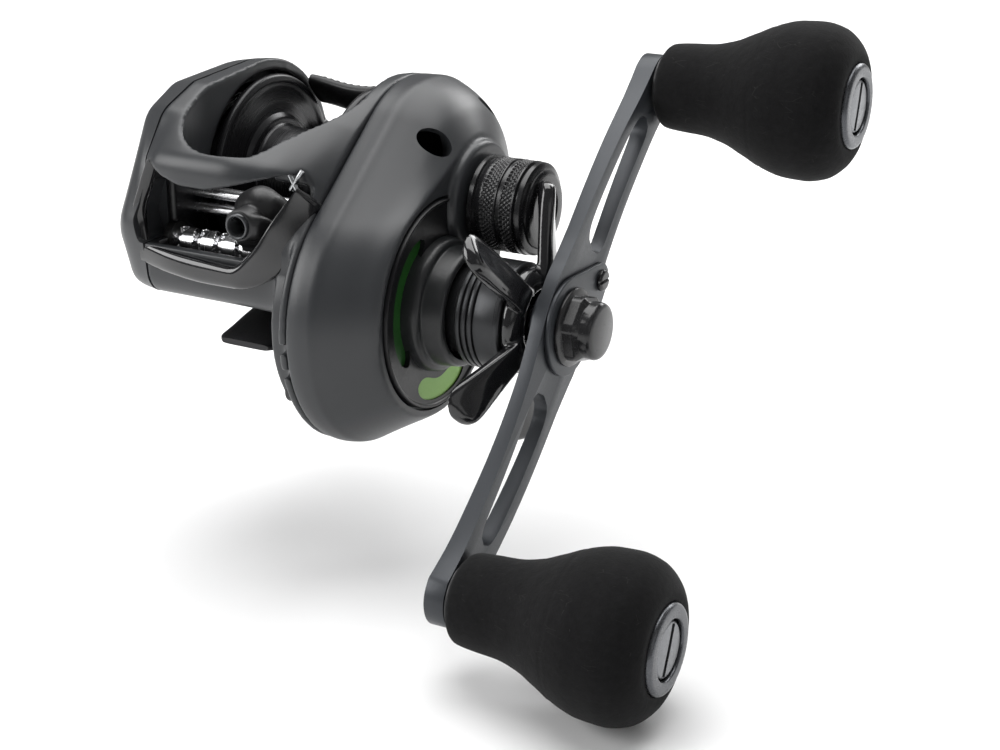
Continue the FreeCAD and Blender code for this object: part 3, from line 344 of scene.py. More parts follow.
def block(low, high):
    """A box between two opposite corners."""
    outline = [(low[1], low[2]), (high[1], low[2]), (high[1], high[2]), (low[1], high[2])]
    return prism(0, outline, low[0], high[0])


# %% [markdown]
# ## Shader helpers
# Every finish starts from the same few surface effects: a cloudy mottle and a fine grain
# for paint and plastic, turning marks for lathe work, and short fibres for foam.  Each
# effect is one node group; a material mixes the masks into its own colour and roughness.

# %% node groups
def new_group(name, inputs, outputs):
    """An empty node group with its sockets, and its input and output nodes."""
    group = bpy.data.node_groups.new(name, "ShaderNodeTree")
    for label, value in inputs:
        group.interface.new_socket(label, in_out="INPUT",
                                   socket_type="NodeSocketFloat").default_value = value
    for label in outputs:
        group.interface.new_socket(label, in_out="OUTPUT", socket_type="NodeSocketFloat")
    return group, group.nodes.new("NodeGroupInput"), group.nodes.new("NodeGroupOutput")


def feed(node, values):
    """Give each input, by name or number, a plain value or a link from a socket."""
    for key, value in values.items():
        if isinstance(value, bpy.types.NodeSocket):
            node.id_data.links.new(value, node.inputs[key])
        else:
            node.inputs[key].default_value = value
    return node


def add(tree, kind, values):
    """A new shader node of this kind with its inputs fed."""
    return feed(tree.nodes.new("ShaderNode" + kind), values)


def add_group(tree, group, values):
    """A use of a node group with its inputs fed."""
    node = tree.nodes.new("ShaderNodeGroup")
    node.node_tree = group
    return feed(node, values)


def math_node(tree, operation, *values):
    """A Math node fed with numbers or sockets."""
    node = add(tree, "Math", dict(enumerate(values)))
    node.operation = operation
    return node.outputs[0]


def noise(tree, vector, scale, detail=3.0, roughness=0.6):
    """Fractal noise at a place; the scale may be a socket."""
    values = {"Detail": detail, "Roughness": roughness, "Vector": vector, "Scale": scale}
    return add(tree, "TexNoise", values).outputs["Fac"]


def mix_colours(tree, share, first, second):
    """The first colour turning into the second as share, a socket, goes from 0 to 1."""
    node = tree.nodes.new("ShaderNodeMix")
    node.data_type = "RGBA"
    return feed(node, {0: share, 6: first, 7: second}).outputs[2]


def bump(tree, height, strength, distance):
    """The normal of a surface raised by height, distance in millimetres."""
    values = {"Strength": strength, "Distance": distance * MM, "Height": height}
    return add(tree, "Bump", values).outputs[0]


def object_place(group):
    """The place of the shaded point in the object's own frame."""
    return group.nodes.new("ShaderNodeTexCoord").outputs["Object"]


def shaft_radius(group, start, y, z):
    """Distance from the line parallel to X through the group's Axis Y and Axis Z."""
    dy = math_node(group, "SUBTRACT", y, start.outputs["Axis Y"])
    dz = math_node(group, "SUBTRACT", z, start.outputs["Axis Z"])
    squares = [math_node(group, "MULTIPLY", gap, gap) for gap in (dy, dz)]
    return math_node(group, "SQRT", math_node(group, "ADD", *squares))


def build_grain():
    """Mottle: slow clouds.  Grain: fine noise at the given size."""
    group, start, end = new_group("paint_grain", [("Cloud Scale", 60.0), ("Grain Scale", 2500.0)],
                                  ["Mottle", "Grain"])
    where = object_place(group)
    group.links.new(noise(group, where, start.outputs["Cloud Scale"], 4.0), end.inputs["Mottle"])
    group.links.new(noise(group, where, start.outputs["Grain Scale"], 2.0), end.inputs["Grain"])
    return group


def build_turning():
    """Rings about a line parallel to X: noise read along radius and x only."""
    group, start, end = new_group("turning_marks", [("Axis Y", 0.0), ("Axis Z", 0.0),
                                                    ("Fineness", 4000.0)], ["Rings"])
    where = object_place(group)
    split = add(group, "SeparateXYZ", {0: where})
    radius = shaft_radius(group, start, split.outputs["Y"], split.outputs["Z"])
    join = add(group, "CombineXYZ", {"X": radius, "Y": split.outputs["X"]})
    group.links.new(noise(group, join.outputs[0], start.outputs["Fineness"], 2.0), end.inputs["Rings"])
    return group


def build_fibres():
    """Short pale hairs and soft pits, for the skin of ground foam."""
    group, start, end = new_group("foam_skin", [("Pit Scale", 900.0), ("Hair Scale", 500.0)],
                                  ["Pits", "Hairs"])
    where = object_place(group)
    group.links.new(noise(group, where, start.outputs["Pit Scale"], 5.0, 0.7), end.inputs["Pits"])
    wobble = add(group, "Mapping", {"Scale": (0.35, 1.0, 1.6), "Rotation": (0.6, 0.4, 0.9),
                                    "Vector": where})
    cells = add(group, "TexVoronoi", {"Vector": wobble.outputs[0], "Scale": start.outputs["Hair Scale"]})
    cells.feature = "DISTANCE_TO_EDGE"
    thin = math_node(group, "LESS_THAN", cells.outputs["Distance"], 0.012)
    patch = math_node(group, "GREATER_THAN", noise(group, where, 320.0, 2.0), 0.6)
    group.links.new(math_node(group, "MULTIPLY", thin, patch), end.inputs["Hairs"])
    return group


GRAIN, TURNING, FIBRES = build_grain(), build_turning(), build_fibres()


# %% materials
def material(name, dark, light, rough, metallic=0.0, bumps=0.15, cloud=60.0, grain=2500.0,
             coat=0.0, axis=None, fineness=4000.0, specular=0.5):
    """Colour runs between dark and light with the mottle, roughness over a pair of values
    with the grain (or the turning rings), and the same pattern drives a shallow bump."""
    made = bpy.data.materials.new(name)
    made.use_nodes = True
    tree = made.node_tree
    paint = add_group(tree, GRAIN, {"Cloud Scale": cloud, "Grain Scale": grain})
    fine = paint.outputs["Grain"]
    if axis is not None:
        values = {"Axis Y": axis[0] * MM, "Axis Z": axis[1] * MM, "Fineness": fineness}
        fine = add_group(tree, TURNING, values).outputs["Rings"]
    spread = add(tree, "MapRange", {"From Min": 0.3, "From Max": 0.7, "To Min": rough[0],
                                    "To Max": rough[1], "Value": fine})
    feed(tree.nodes["Principled BSDF"], {
        "Metallic": metallic, "Coat Weight": coat, "Coat Roughness": 0.06, "Specular IOR Level": specular,
        "Base Color": mix_colours(tree, paint.outputs["Mottle"], (*dark, 1), (*light, 1)),
        "Roughness": spread.outputs[0], "Normal": bump(tree, fine, bumps, 0.02)})
    return made


PAINT_DARK, PAINT_LIGHT = (0.022, 0.0235, 0.026), (0.029, 0.031, 0.034)
PAINT = material("charcoal_paint", PAINT_DARK, PAINT_LIGHT, (0.33, 0.43), bumps=0.3, grain=5200.0)
DISC_BLACK = material("disc_black", (0.005, 0.005, 0.006), (0.009, 0.009, 0.010), (0.30, 0.42), bumps=0.2,
                      specular=0.3)
HUB_GREY = material("hub_charcoal", (0.013, 0.014, 0.015), (0.018, 0.019, 0.020), (0.28, 0.40), bumps=0.2,
                    specular=0.4)
GLOSS = material("gloss_black", (0.006, 0.006, 0.007), (0.010, 0.010, 0.011), (0.10, 0.16), bumps=0.05,
                 coat=0.4)
CAP_BLACK = material("cap_black", (0.008, 0.008, 0.009), (0.012, 0.012, 0.013), (0.2, 0.28), bumps=0.03)
SATIN = material("satin_black", (0.012, 0.012, 0.013), (0.020, 0.020, 0.021), (0.34, 0.48), bumps=0.3)
FOOT = material("foot_black", (0.010, 0.010, 0.011), (0.016, 0.016, 0.018), (0.38, 0.5), metallic=0.3)
GREEN = material("green_enamel", (0.17, 0.34, 0.06), (0.21, 0.40, 0.08), (0.35, 0.5), metallic=0.2)
# A darker copy of the green enamel: painted shade for the plate seen through the long window.
GREEN_PAINTED_SHADE = material("green_shaded", (0.012, 0.075, 0.010), (0.016, 0.095, 0.013), (0.35, 0.5),
                      metallic=0.2)
SPOOL_BLACK = material("spool_black", (0.010, 0.010, 0.011), (0.016, 0.016, 0.018), (0.24, 0.34),
                       metallic=0.4, axis=SPOOL, bumps=0.03)
CHROME = material("polished_steel", (0.72, 0.72, 0.74), (0.80, 0.80, 0.81), (0.18, 0.28), metallic=1.0,
                  axis=WORM, bumps=0.04)
STEEL = material("ground_steel", (0.42, 0.43, 0.44), (0.55, 0.56, 0.57), (0.22, 0.36), metallic=1.0,
                 axis=SPOOL)
DRIVE_STEEL = material("drive_steel", (0.42, 0.43, 0.44), (0.55, 0.56, 0.57), (0.22, 0.36), metallic=1.0,
                       axis=DRIVE)
BRASS = material("cut_brass", (0.52, 0.36, 0.12), (0.62, 0.45, 0.18), (0.22, 0.38), metallic=1.0,
                 axis=DRIVE)
CARBON = material("carbon_disc", (0.012, 0.012, 0.012), (0.03, 0.03, 0.03), (0.5, 0.7), bumps=0.4,
                  grain=1500.0)
BLADE = material("blue_grey_anodised", (0.030, 0.033, 0.038), (0.038, 0.042, 0.048), (0.34, 0.46),
                 metallic=0.35, bumps=0.22, grain=4200.0)
GUNMETAL = material("gunmetal_anodised", (0.075, 0.078, 0.085), (0.10, 0.103, 0.11), (0.24, 0.36),
                    metallic=0.85)
NYLON = material("white_nylon", (0.62, 0.61, 0.57), (0.70, 0.69, 0.65), (0.4, 0.5), bumps=0.1)
DARK_NYLON = material("dark_nylon", (0.008, 0.008, 0.008), (0.014, 0.014, 0.014), (0.4, 0.5), bumps=0.1)
CERAMIC = material("ceramic_ring", (0.06, 0.062, 0.066), (0.08, 0.082, 0.086), (0.08, 0.14), metallic=0.4,
                   bumps=0.02)
COLLAR = material("collar_grey", (0.030, 0.031, 0.033), (0.040, 0.041, 0.043), (0.26, 0.40), metallic=0.7,
                  axis=DRIVE, bumps=0.25)


def foam():
    """Black ground foam: very rough, hardly any sheen, pits in the bump, stray paler hairs."""
    made = bpy.data.materials.new("black_foam")
    made.use_nodes = True
    tree = made.node_tree
    skin = add_group(tree, FIBRES, {})
    pits = skin.outputs["Pits"]
    ground = mix_colours(tree, pits, (0.003, 0.003, 0.0032, 1), (0.011, 0.011, 0.0115, 1))
    feed(tree.nodes["Principled BSDF"], {
        "Roughness": 0.92, "Specular IOR Level": 0.12, "Sheen Weight": 0.04, "Sheen Roughness": 0.5,
        "Base Color": mix_colours(tree, skin.outputs["Hairs"], ground, (0.016, 0.016, 0.0155, 1)),
        "Normal": bump(tree, pits, 0.8, 0.12)})
    return made


FOAM = foam()


def dress(thing, finish):
    """One finish over the whole piece."""
    thing.data.materials.clear()
    thing.data.materials.append(finish)
    for face in thing.data.polygons:
        face.material_index = 0
    return thing


def install(thing, name, body, finish, nodes=()):
    """Name a finished piece, dress it, and put it on its body in place of CAD nodes."""
    thing.name = thing.data.name = name
    dress(thing, finish)
    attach(thing, body)
    if nodes:
        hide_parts(*nodes)
    print("%-22s %6d faces" % (name, len(thing.data.polygons)))
    return thing


# %% [markdown]
# The frame's outside is charcoal paint; inside, its colour is painted shade, near black where shadow falls.  A
# mask made from the place of each point says where inside begins: within the spool's well, or in the line guide's
# room.
# point says where inside begins: within the spool's well, or in the line guide's room.

# %% frame paint and painted shade
# The mask that says where the painted shade goes inside the frame.
def build_shade_mask():
    """1 inside the well (radius under Radius about the spool axis) or inside the room's
    box, each test a smooth step 0.15 mm wide."""
    inputs = [("Axis Y", 0.0), ("Axis Z", 0.0), ("Radius", 0.019), ("Half Length", 0.0145),
              ("Room Front", -0.0352), ("Room Low", 0.0122), ("Room High", 0.0312)]
    group, start, end = new_group("inside_shade_mask", inputs, ["Inside"])
    split = add(group, "SeparateXYZ", {0: object_place(group)})
    x, y, z = (split.outputs[k] for k in "XYZ")
    room_middle, room_half = 1.5 * MM, 16.1 * MM

    def above(value, level):
        """1 where value is over level, 0 where it is under, by a step 0.15 mm wide."""
        gap = math_node(group, "SUBTRACT", value, level)
        step = math_node(group, "MULTIPLY", gap, 1 / (0.15 * MM))
        node = math_node(group, "ADD", step, 0.5)
        node.node.use_clamp = True
        return node

    radius = shaft_radius(group, start, y, z)
    narrow = above(start.outputs["Half Length"], math_node(group, "ABSOLUTE", x))
    well = math_node(group, "MULTIPLY", above(start.outputs["Radius"], radius), narrow)
    room = math_node(group, "MULTIPLY", above(y, start.outputs["Room Front"]),
                     above(z, start.outputs["Room Low"]))
    room = math_node(group, "MULTIPLY", room, above(start.outputs["Room High"], z))
    shifted = math_node(group, "ABSOLUTE", math_node(group, "ADD", x, room_middle))
    room = math_node(group, "MULTIPLY", room, above(room_half, shifted))
    group.links.new(math_node(group, "MAXIMUM", well, room), end.inputs["Inside"])
    return group


# A copy of the charcoal paint whose base colour turns to painted shade, near black, inside the well and the line
# guide's room.
FRAME_PAINT_WITH_SHADE = PAINT.copy()
FRAME_PAINT_WITH_SHADE.name = "charcoal_paint_shade_inside"


def paint_shade_inside():
    tree = FRAME_PAINT_WITH_SHADE.node_tree
    shader = tree.nodes["Principled BSDF"]
    mask = add_group(tree, build_shade_mask(), {"Axis Y": SPOOL[0] * MM, "Axis Z": SPOOL[1] * MM})
    paint = shader.inputs["Base Color"].links[0].from_socket
    # Painted shade: near black stands in for the shadow inside the well and the room.
    painted_shade_black = (0.006, 0.006, 0.007, 1)
    feed(shader, {"Base Color": mix_colours(tree, mask.outputs["Inside"], paint, painted_shade_black)})


paint_shade_inside()

# %% [markdown]
# ## The frame
# The frame is one casting.  Its outer skin is a loft: at the palm side the band runs round
# the spool, a brow and a nose; towards the handle the brow falls back.  From that solid
# the spool well, the opening for the thumb and the line guide's window are cut away, and
# what is left between the last two is the horseshoe bridge in front of the spool.

# %% frame
def frame_skin():
    stations = [-16, -12, -6, 2, 9, 13, 17]
    spool = [(-3.2, 24.8, 20.2), (-3.2, 24.9, 20.5), (-3.2, 24.9, 20.5), (-3.2, 24.8, 20.2),
             (-2.6, 24.6, 20.3), (-1.6, 24.3, 20.5), (-0.5, 24.0, 21.0)]
    brow = [(-30.4, 31.6, 4.0), (-32.6, 32.4, 3.9), (-33.2, 32.5, 4.0), (-33.0, 32.4, 4.2),
            (-31.2, 31.4, 4.2), (-28.4, 29.8, 4.2), (-24.5, 27.5, 4.2)]
    crown = [(-18.6, 39.0, 5.2), (-18.8, 39.2, 4.8), (-19.0, 38.6, 4.2), (-19.0, 37.6, 4.0),
             (-18.0, 36.6, 4.0), (-17.0, 36.0, 4.0), (-15.0, 35.0, 4.0)]
    temple = [(-24.7, 35.6, 6.2), (-25.2, 35.6, 6.0), (-25.4, 35.2, 5.4), (-24.5, 34.6, 4.4),
              (-23.5, 34.0, 4.2), (-22.0, 33.0, 4.2), (-19.0, 31.0, 4.2)]
    nose = [(-30.0, 21.0, 6.6)] * 4 + [(-30.0, 21.5, 6.6), (-29.4, 20.0, 7.0), (-28.6, 18.5, 7.6)]
    chin = [(-31.0, 13.4, 4.8)] * 4 + [(-31.0, 13.2, 4.8), (-31.0, 12.6, 5.2), (-31.0, 12.0, 6.0)]
    keel = [(-14.0, 6.4, 2.6)] * 7
    return loft("skin", stations, [spool, brow, crown, temple, nose, chin, keel],
                np.linspace(-16, 17, 45))


def top_opening():
    """Seen from above: straight at the palm side, round at the front, slanting back to the
    handle side."""
    corners = [(-12.2, 6), (-12.2, -24), (-10.4, -31.2), (-5.0, -34.6), (1.0, -35.0), (5.6, -33.6),
               (8.6, -24.5), (11.8, -18.5), (13.9, -12), (13.9, 6)]
    return prism(2, rounded(corners, 3.2, 6), 24, 60)


def window():
    """Seen from the front: level sill, leaning palm end, a dip under the bridge."""
    corners = [(-17.2, 18.6), (-18.2, 22.8), (-14.2, 33.2), (-10.8, 31.2), (-6.8, 30.1), (-1.5, 30.1),
               (4.5, 31.6), (9.5, 32.9), (15.6, 33.6), (15.6, 27), (10.4, 18.6)]
    return prism(1, rounded(corners, 0.8, 4), -46, -29)


side_plate = loft("side", [15.5, 17], [[(-0.5, 24, 21.0)] * 2, [(-17.3, 7.2, 24.2)] * 2],
                  [15.5, 15.7, 17])
web = loft("web", [12.2, 16], [[(-0.5, 24, 19.5)] * 2, [(-17.3, 7.2, 21.6)] * 2], [12.2, 16])
shoulder = loft("shoulder", [-16, -12.3], [[(8.5, 34.6, 4.6)] * 2, [(-3.2, 24.8, 20.2)] * 2],
                [-16, -12.3])
shell = combine(frame_skin(), [side_plate, web, shoulder], "UNION")
notches = [block((15.0, -44, z), (17.5, -39.2 + lean, z + 1.5)) for z, lean in ((5.2, 0.0), (0.6, 0.4))]
shell = combine(shell, [
    rod_along(0, SPOOL, WELL, -18, 14, 160), top_opening(), window(), *notches,
    block((-12.2, 4, 30), (13.9, 40, 60)), block((-14.3, -34.3, 12.6), (14.3, -20, 31)),
    rod_along(0, DRIVE, 4, 11, 18), rod_along(0, SPOOL, 5, 13, 18), rod_along(0, WORM, 3.2, -15.8, 18)])
melt(shell, 0.3, 20, keep=0.5)
install(shell, "frame_casting", "frame_body", FRAME_PAINT_WITH_SHADE, ["frame"])

# %% [markdown]
# ## The palm side
# The palm plate is the part the hand closes round, so it is a smooth pebble: the frame's
# own outline, drawn in from station to station towards a small face that holds the dial.

# %% palm cover
def palm_pebble():
    """The same discs as the frame's end, drawn in station by station towards the face."""
    stations = [-27.4, -26.6, -24.6, -20.5, -16.0]
    discs = [[(-3.6, 24.8, 9.8), (-3.5, 24.8, 13.0), (-3.3, 24.8, 16.6), (-3.2, 24.8, 19.3),
              (-3.2, 24.8, 20.2)], [(-12.0, 27.0, 3.0), (-14.5, 28.0, 3.6), (-19.5, 29.0, 4.0),
                                    (-26.2, 30.4, 4.0), (-30.4, 31.6, 4.0)],
             [(-9.0, 31.5, 3.4), (-10.5, 33.6, 4.4), (-14.0, 36.0, 5.0), (-17.3, 38.2, 5.2),
              (-18.6, 39.0, 5.2)], [(-11.0, 30.0, 3.4), (-13.0, 31.2, 4.4), (-17.5, 33.2, 5.6),
                                    (-22.6, 35.0, 6.1), (-24.7, 35.6, 6.2)],
             [(-15.5, 19.5, 4.4), (-19.5, 19.0, 5.4), (-25.4, 19.4, 6.2), (-29.2, 20.4, 6.5),
              (-30.0, 21.0, 6.6)], [(-14.5, 15.5, 3.0), (-18.5, 14.4, 3.6), (-24.8, 13.6, 4.4),
                                    (-29.5, 13.4, 4.7), (-31.0, 13.4, 4.8)],
             [(-9.0, 13.0, 2.4), (-10.5, 10.5, 2.5), (-12.5, 8.3, 2.6), (-13.7, 6.8, 2.6),
              (-14.0, 6.4, 2.6)]]
    return loft("pebble", stations, discs, -16 - 11.4 * np.sin(np.linspace(0, np.pi / 2, 40)), crease=40)


pebble = combine(palm_pebble(), [window(), rod_along(0, SPOOL, 16, -24, -15),
                                 rod_along(0, SPOOL, 9.15, -30, -25.5)])
keeper = turned("keeper", [(-24.5, 6), (-16, 6), (-16, 4), (-24.5, 4)], SPOOL)
pebble = combine(pebble, [keeper], "UNION")
soften(pebble, 30)
install(pebble, "palm_plate", "frame_body", PAINT, ["palm_side_cover"])

# %% [markdown]
# ## The handle side
# The gear case bulges over the big gear and is drawn in over the spool's end.  Its face
# has a round recess for the dark disc, a boss for the cast control and two oval ports.

# %% gear cover
COVER_X = [17, 19, 21.4, 22.8, 26, 29, 31, 32.4]
HEAD = [(-0.5, 24, 21.0), (-0.5, 24, 21.1), (-0.6, 24.1, 21.1), (-0.6, 24.1, 20.6), (-0.8, 24.2, 18.9),
        (-1.4, 24.4, 16.5), (-2.2, 24.6, 13.8), (-3, 24.7, 11.6)]
BELLY = [(-17.3, 7.2, 24.2), (-17.3, 7.2, 24.4), (-17.2, 7.4, 24.3), (-17.2, 7.6, 23.7),
         (-17.1, 8.2, 22.4), (-16.9, 8.7, 21.2), (-16.7, 9.1, 20.5), (-16.6, 9.3, 19.8)]


def port(x, radius, turn, along, wide, tilt):
    """An oval hole square to the shoulder: its long way runs down the slope, tilted by
    tilt from the shaft, its short way runs round the spool axis."""
    b = math.radians(tilt)
    out, side = (np.array([0, *way]) for way in heading(turn))
    shaft = np.array([1.0, 0, 0])
    normal = shaft * math.sin(b) + out * math.cos(b)
    slope = shaft * math.cos(b) - out * math.sin(b)
    centre = np.array([x, *SPOOL]) + out * radius
    angle = full_turn(56)
    oval = np.outer(along * np.cos(angle), slope) + np.outer(wide * np.sin(angle), side)
    return closed_grid("port", [centre + oval - 5.0 * normal, centre + oval + 6.0 * normal])


def gear_cover():
    """Outer loft and a flared boss, melted into one skin; then the hollow, the round
    recess, the bores and the two ports are cut crisp."""
    rows = np.concatenate([[17.0, 17.3], np.linspace(17.9, 32.0, 36), [32.4]])
    solid = loft("cover", COVER_X, [HEAD, BELLY], rows)
    flare = [(27.0 + 6.4 * t, 10.7 + 4.6 * (1 - t) ** 2.6) for t in np.linspace(0, 1, 16)]
    boss = [(27.0, 0.2), *flare, (33.8, 10.3), (34.0, 9.9), (34.0, 0.2)]
    solid = combine(solid, [turned("boss", boss, SPOOL)], "UNION")
    melt(solid, 0.36, 6)
    trim = block((10, -60, -40), (17.0, 60, 60))
    inner = loft("hollow", COVER_X, [HEAD, BELLY], np.concatenate([[16.5], np.linspace(17.2, 28.5, 24)]),
                 inset=1.7)
    recess = combine(turned("recess", [(31.2, 6), (36, 6), (36, 18.95), (31.2, 18.95)], DRIVE),
                     [rod_along(0, SPOOL, 11.0, 29, 37)])
    return combine(solid, [trim, inner, recess, rod_along(0, DRIVE, 8, 26, 36),
                           rod_along(0, SPOOL, 5.5, 26, 36), port(29.4, 15.2, 127, 3.3, 2.5, 46),
                           port(27.8, 18.0, 50, 1.5, 3.2, 40)])


cover = gear_cover()
soften(cover, 30)
install(cover, "gear_case", "frame_body", PAINT, ["handle_side_cover"])

# %% [markdown]
# ## The window's gloss lip
# A black moulding frames the lower edge of the window and climbs towards the handle side.

# %% window lip
def smooth_path(points, count=60):
    """A path through given points: each coordinate is a curve over the run so far."""
    points = np.asarray(points, float)
    run = np.concatenate([[0], np.cumsum(np.linalg.norm(np.diff(points, axis=0), axis=1))])
    where = np.linspace(0, run[-1], count)
    return np.stack([curve_through(run, points[:, k], where) for k in range(points.shape[1])], -1)


def oval_angles(count, power):
    """Cosine and sine bent into a superellipse: |u|^p + |v|^p = 1."""
    angle = full_turn(count)
    u, v = np.cos(angle), np.sin(angle)
    return np.sign(u) * np.abs(u) ** (2 / power), np.sign(v) * np.abs(v) ** (2 / power)


def strap(name, first, second, thick, out, power=3.0, count=70, crease=60.0):
    """A bar between two edge lines: at each step the section is a superellipse whose long
    axis joins the edges and whose short axis, thick long, points along out."""
    first, second = smooth_path(first, count), smooth_path(second, count)
    out = np.broadcast_to(np.asarray(out, float), first.shape)
    thick = curve_through(np.linspace(0, 1, len(thick)), thick, np.linspace(0, 1, count))
    u, v = oval_angles(36, power)
    middle, half = (first + second) / 2, (first - second) / 2
    rings = (middle[:, None] + half[:, None] * u[None, :, None]
             + (out * thick[:, None] / 2)[:, None] * v[None, :, None])
    return closed_grid(name, rings, crease=crease)


lip = strap("lip", [(-17.0, -35.3, 18.6), (-10, -36.4, 18.2), (-2, -36.9, 17.8), (3.4, -37.2, 17.6),
                    (7.6, -37.3, 20.4), (11.2, -36.7, 25.4), (15.0, -33.4, 31.8)],
            [(-17.2, -35.0, 14.6), (-10, -36.2, 14.0), (-2, -36.8, 13.6), (4.6, -36.9, 13.7),
             (12.4, -36.0, 16.9), (16.2, -33.0, 21.8), (17.3, -29.2, 28.0)], (1.6, 2.8, 2.8, 1.8, 1.0),
            (0, -1, 0), 2.6)
cheek = strap("cheek", [(-18.2, -35.0, 16.8), (-19.2, -34.6, 22.6), (-17.0, -35.0, 28.6),
                        (-14.6, -35.4, 33.6)], [(-16.4, -34.2, 18.2), (-17.2, -33.6, 22.8),
                                                (-14.9, -34.0, 28.8), (-13.2, -34.6, 32.8)],
              (1.2, 1.6, 1.4, 0.8), (0, -1, 0), 2.6)
lip = combine(lip, [cheek], "UNION")
soften(lip, 60)
install(lip, "window_lip", "frame_body", GLOSS, ["front_trim"])


# %% [markdown]
# ## The dark disc and the green windows
# A thin black disc drops into the gear case's face.  Two windows in it show green plates underneath: a long one
# over a plate whose darker green is painted shade, and a wavy leaf over one in the bright green enamel.

# %% accent disc
def sector(inner, outer, start, end, x0, x1, steps=40, wave=0.0):
    """A bent bar: radius from inner to outer, angle from start to end, its ends rounded by
    the factor (1 - t^4)^(1/2) on the half width; wave ripples the inner edge."""
    t = np.linspace(-0.995, 0.995, steps)
    angle = np.radians((start + end) / 2 + t * (end - start) / 2)
    half = (outer - inner) / 2 * np.sqrt(1 - t ** 4)
    middle = (outer + inner) / 2
    low = middle - half * (1 + wave * np.cos(4.2 * t + 0.6))
    high = middle + half
    radius = np.concatenate([high, low[::-1]])
    turn = np.concatenate([angle, angle[::-1]])
    outline = np.column_stack([DRIVE[0] + radius * np.cos(turn), DRIVE[1] + radius * np.sin(turn)])
    return prism(0, outline, x0, x1)


disc_rows = [(31.25, 9.0), (32.5, 9.0), (32.6, 17.7), (32.95, 17.9), (33.0, 18.35), (31.25, 18.6)]
disc = turned("disc", rounded(disc_rows, 0.2), DRIVE, 160)
disc = combine(disc, [rod_along(0, SPOOL, 11.1, 30, 34), sector(11.4, 15.8, 112, 216, 30, 34),
                      sector(13.0, 17.1, 238, 300, 30, 34, wave=-0.16)])
soften(disc, 30)
install(disc, "accent_plate", "frame_body", DISC_BLACK, ["accent_disc"])
install(sector(12.4, 17.9, 230, 306, 31.9, 32.3), "green_windows", "frame_body", GREEN,
        ["green_inserts"])
# The crescent's plate uses the darkened green: painted shade.
install(sector(11.4, 16.6, 108, 220, 31.25, 31.6), "green_crescent", "frame_body", GREEN_PAINTED_SHADE)
hub_rows = [(31.3, 8.4), (31.3, 12.1), (33.9, 11.7), (34.6, 11.2), (34.7, 10.5), (37.9, 10.2),
            (38.5, 9.9), (38.6, 9.2), (38.3, 8.8), (35.6, 8.4)]
hub_ring = turned("hub_ring", rounded(hub_rows, 0.35), DRIVE, 144)
install(hub_ring, "drive_boss", "frame_body", HUB_GREY)

# %% [markdown]
# ## The drag collar and the star
# The collar is lathe work: three ring grooves, a plain band and a stepped end.  The star
# that turns on it has five paddles, and each sweeps back towards the body.

# %% collar
grooves = [(37.2, 5.4), (37.2, 8.0), (40.3, 8.0), (40.35, 9.1), (40.7, 9.55)]
for k in range(3):
    left = 41.5 + 1.15 * k
    grooves += [(left, 9.6), (left + 0.1, 9.1), (left + 0.32, 9.1), (left + 0.42, 9.6)]
grooves += [(48.6, 9.6), (48.9, 9.3), (48.9, 5.4)]
collar = turned("collar", rounded(grooves, 0.1, 3), DRIVE, 144, crease=28)
install(collar, "drag_collar", "star_body", COLLAR, ["star_collar"])


# %% star paddles
def paddle(turn):
    """Stations run out from the hub; x falls back towards the body as way^1.15, the half
    width swells and closes as a rounded end, and the section twists."""
    way = np.linspace(0, 1, 44)
    reach = 6.2 + 17.7 * way
    back = 51.6 - 4.6 * way ** 1.15

    def closing(start, run):
        """1, then from start on an even fall to almost nothing over the run."""
        return np.sqrt(1 - np.clip((way - start) / run, 0, 1) ** 3)

    wide = curve_through([0, 0.25, 0.6, 0.85, 1], [2.3, 2.6, 3.2, 3.6, 3.3], way) * closing(0.86, 0.142)
    thick = curve_through([0, 0.4, 0.8, 1], [1.5, 1.35, 1.5, 1.3], way) * closing(0.9, 0.102)
    twist = np.radians(curve_through([0, 0.35, 1], [0, 10, 40], way))
    u, v = oval_angles(40, 3.6)
    along = wide[:, None] * u * np.cos(twist)[:, None] - thick[:, None] * v * np.sin(twist)[:, None]
    deep = wide[:, None] * u * np.sin(twist)[:, None] + thick[:, None] * v * np.cos(twist)[:, None]
    x = np.clip(back[:, None] + deep, 46.4, 52.3)
    out, side = heading(turn)
    y = DRIVE[0] + reach[:, None] * out[0] + along * side[0]
    z = DRIVE[1] + reach[:, None] * out[1] + along * side[1]
    return closed_grid("paddle", np.stack([x, y, z], -1))


star_rows = [(49.0, 5.3), (49.0, 8.8), (49.6, 9.2), (50.8, 9.0), (51.9, 7.6), (51.9, 5.3)]
star = turned("hub", rounded(star_rows, 0.4), DRIVE, 96)
star = combine(star, [paddle(62.5 + 72 * k) for k in range(5)], "UNION")
melt(star, 0.28, 3)
soften(star, 55)
install(star, "star_paddles", "star_body", GLOSS, ["star_drag"])

# %% [markdown]
# ## The cast control cap
# Two bands of diamond knurl give the fingers a grip.  The knurl is a height field: two
# families of diagonal grooves crossing, pressed into the bands only.

# %% tension cap
BANDS = ((37.4, 39.9), (41.2, 43.2))


def knurl(x, radius, angle):
    """Inside a band the radius drops by 0.36 (1 - |cos(n a + k x)| |cos(n a - k x)|)."""
    count, lean = 30, 3.3
    pattern = np.abs(np.cos(count * angle + lean * x)) * np.abs(np.cos(count * angle - lean * x))
    inside = sum((x > low + 0.05) & (x < high - 0.05) for low, high in BANDS) > 0
    return radius - np.where(inside & (radius > 7.5), 0.36 * (1 - pattern), 0)


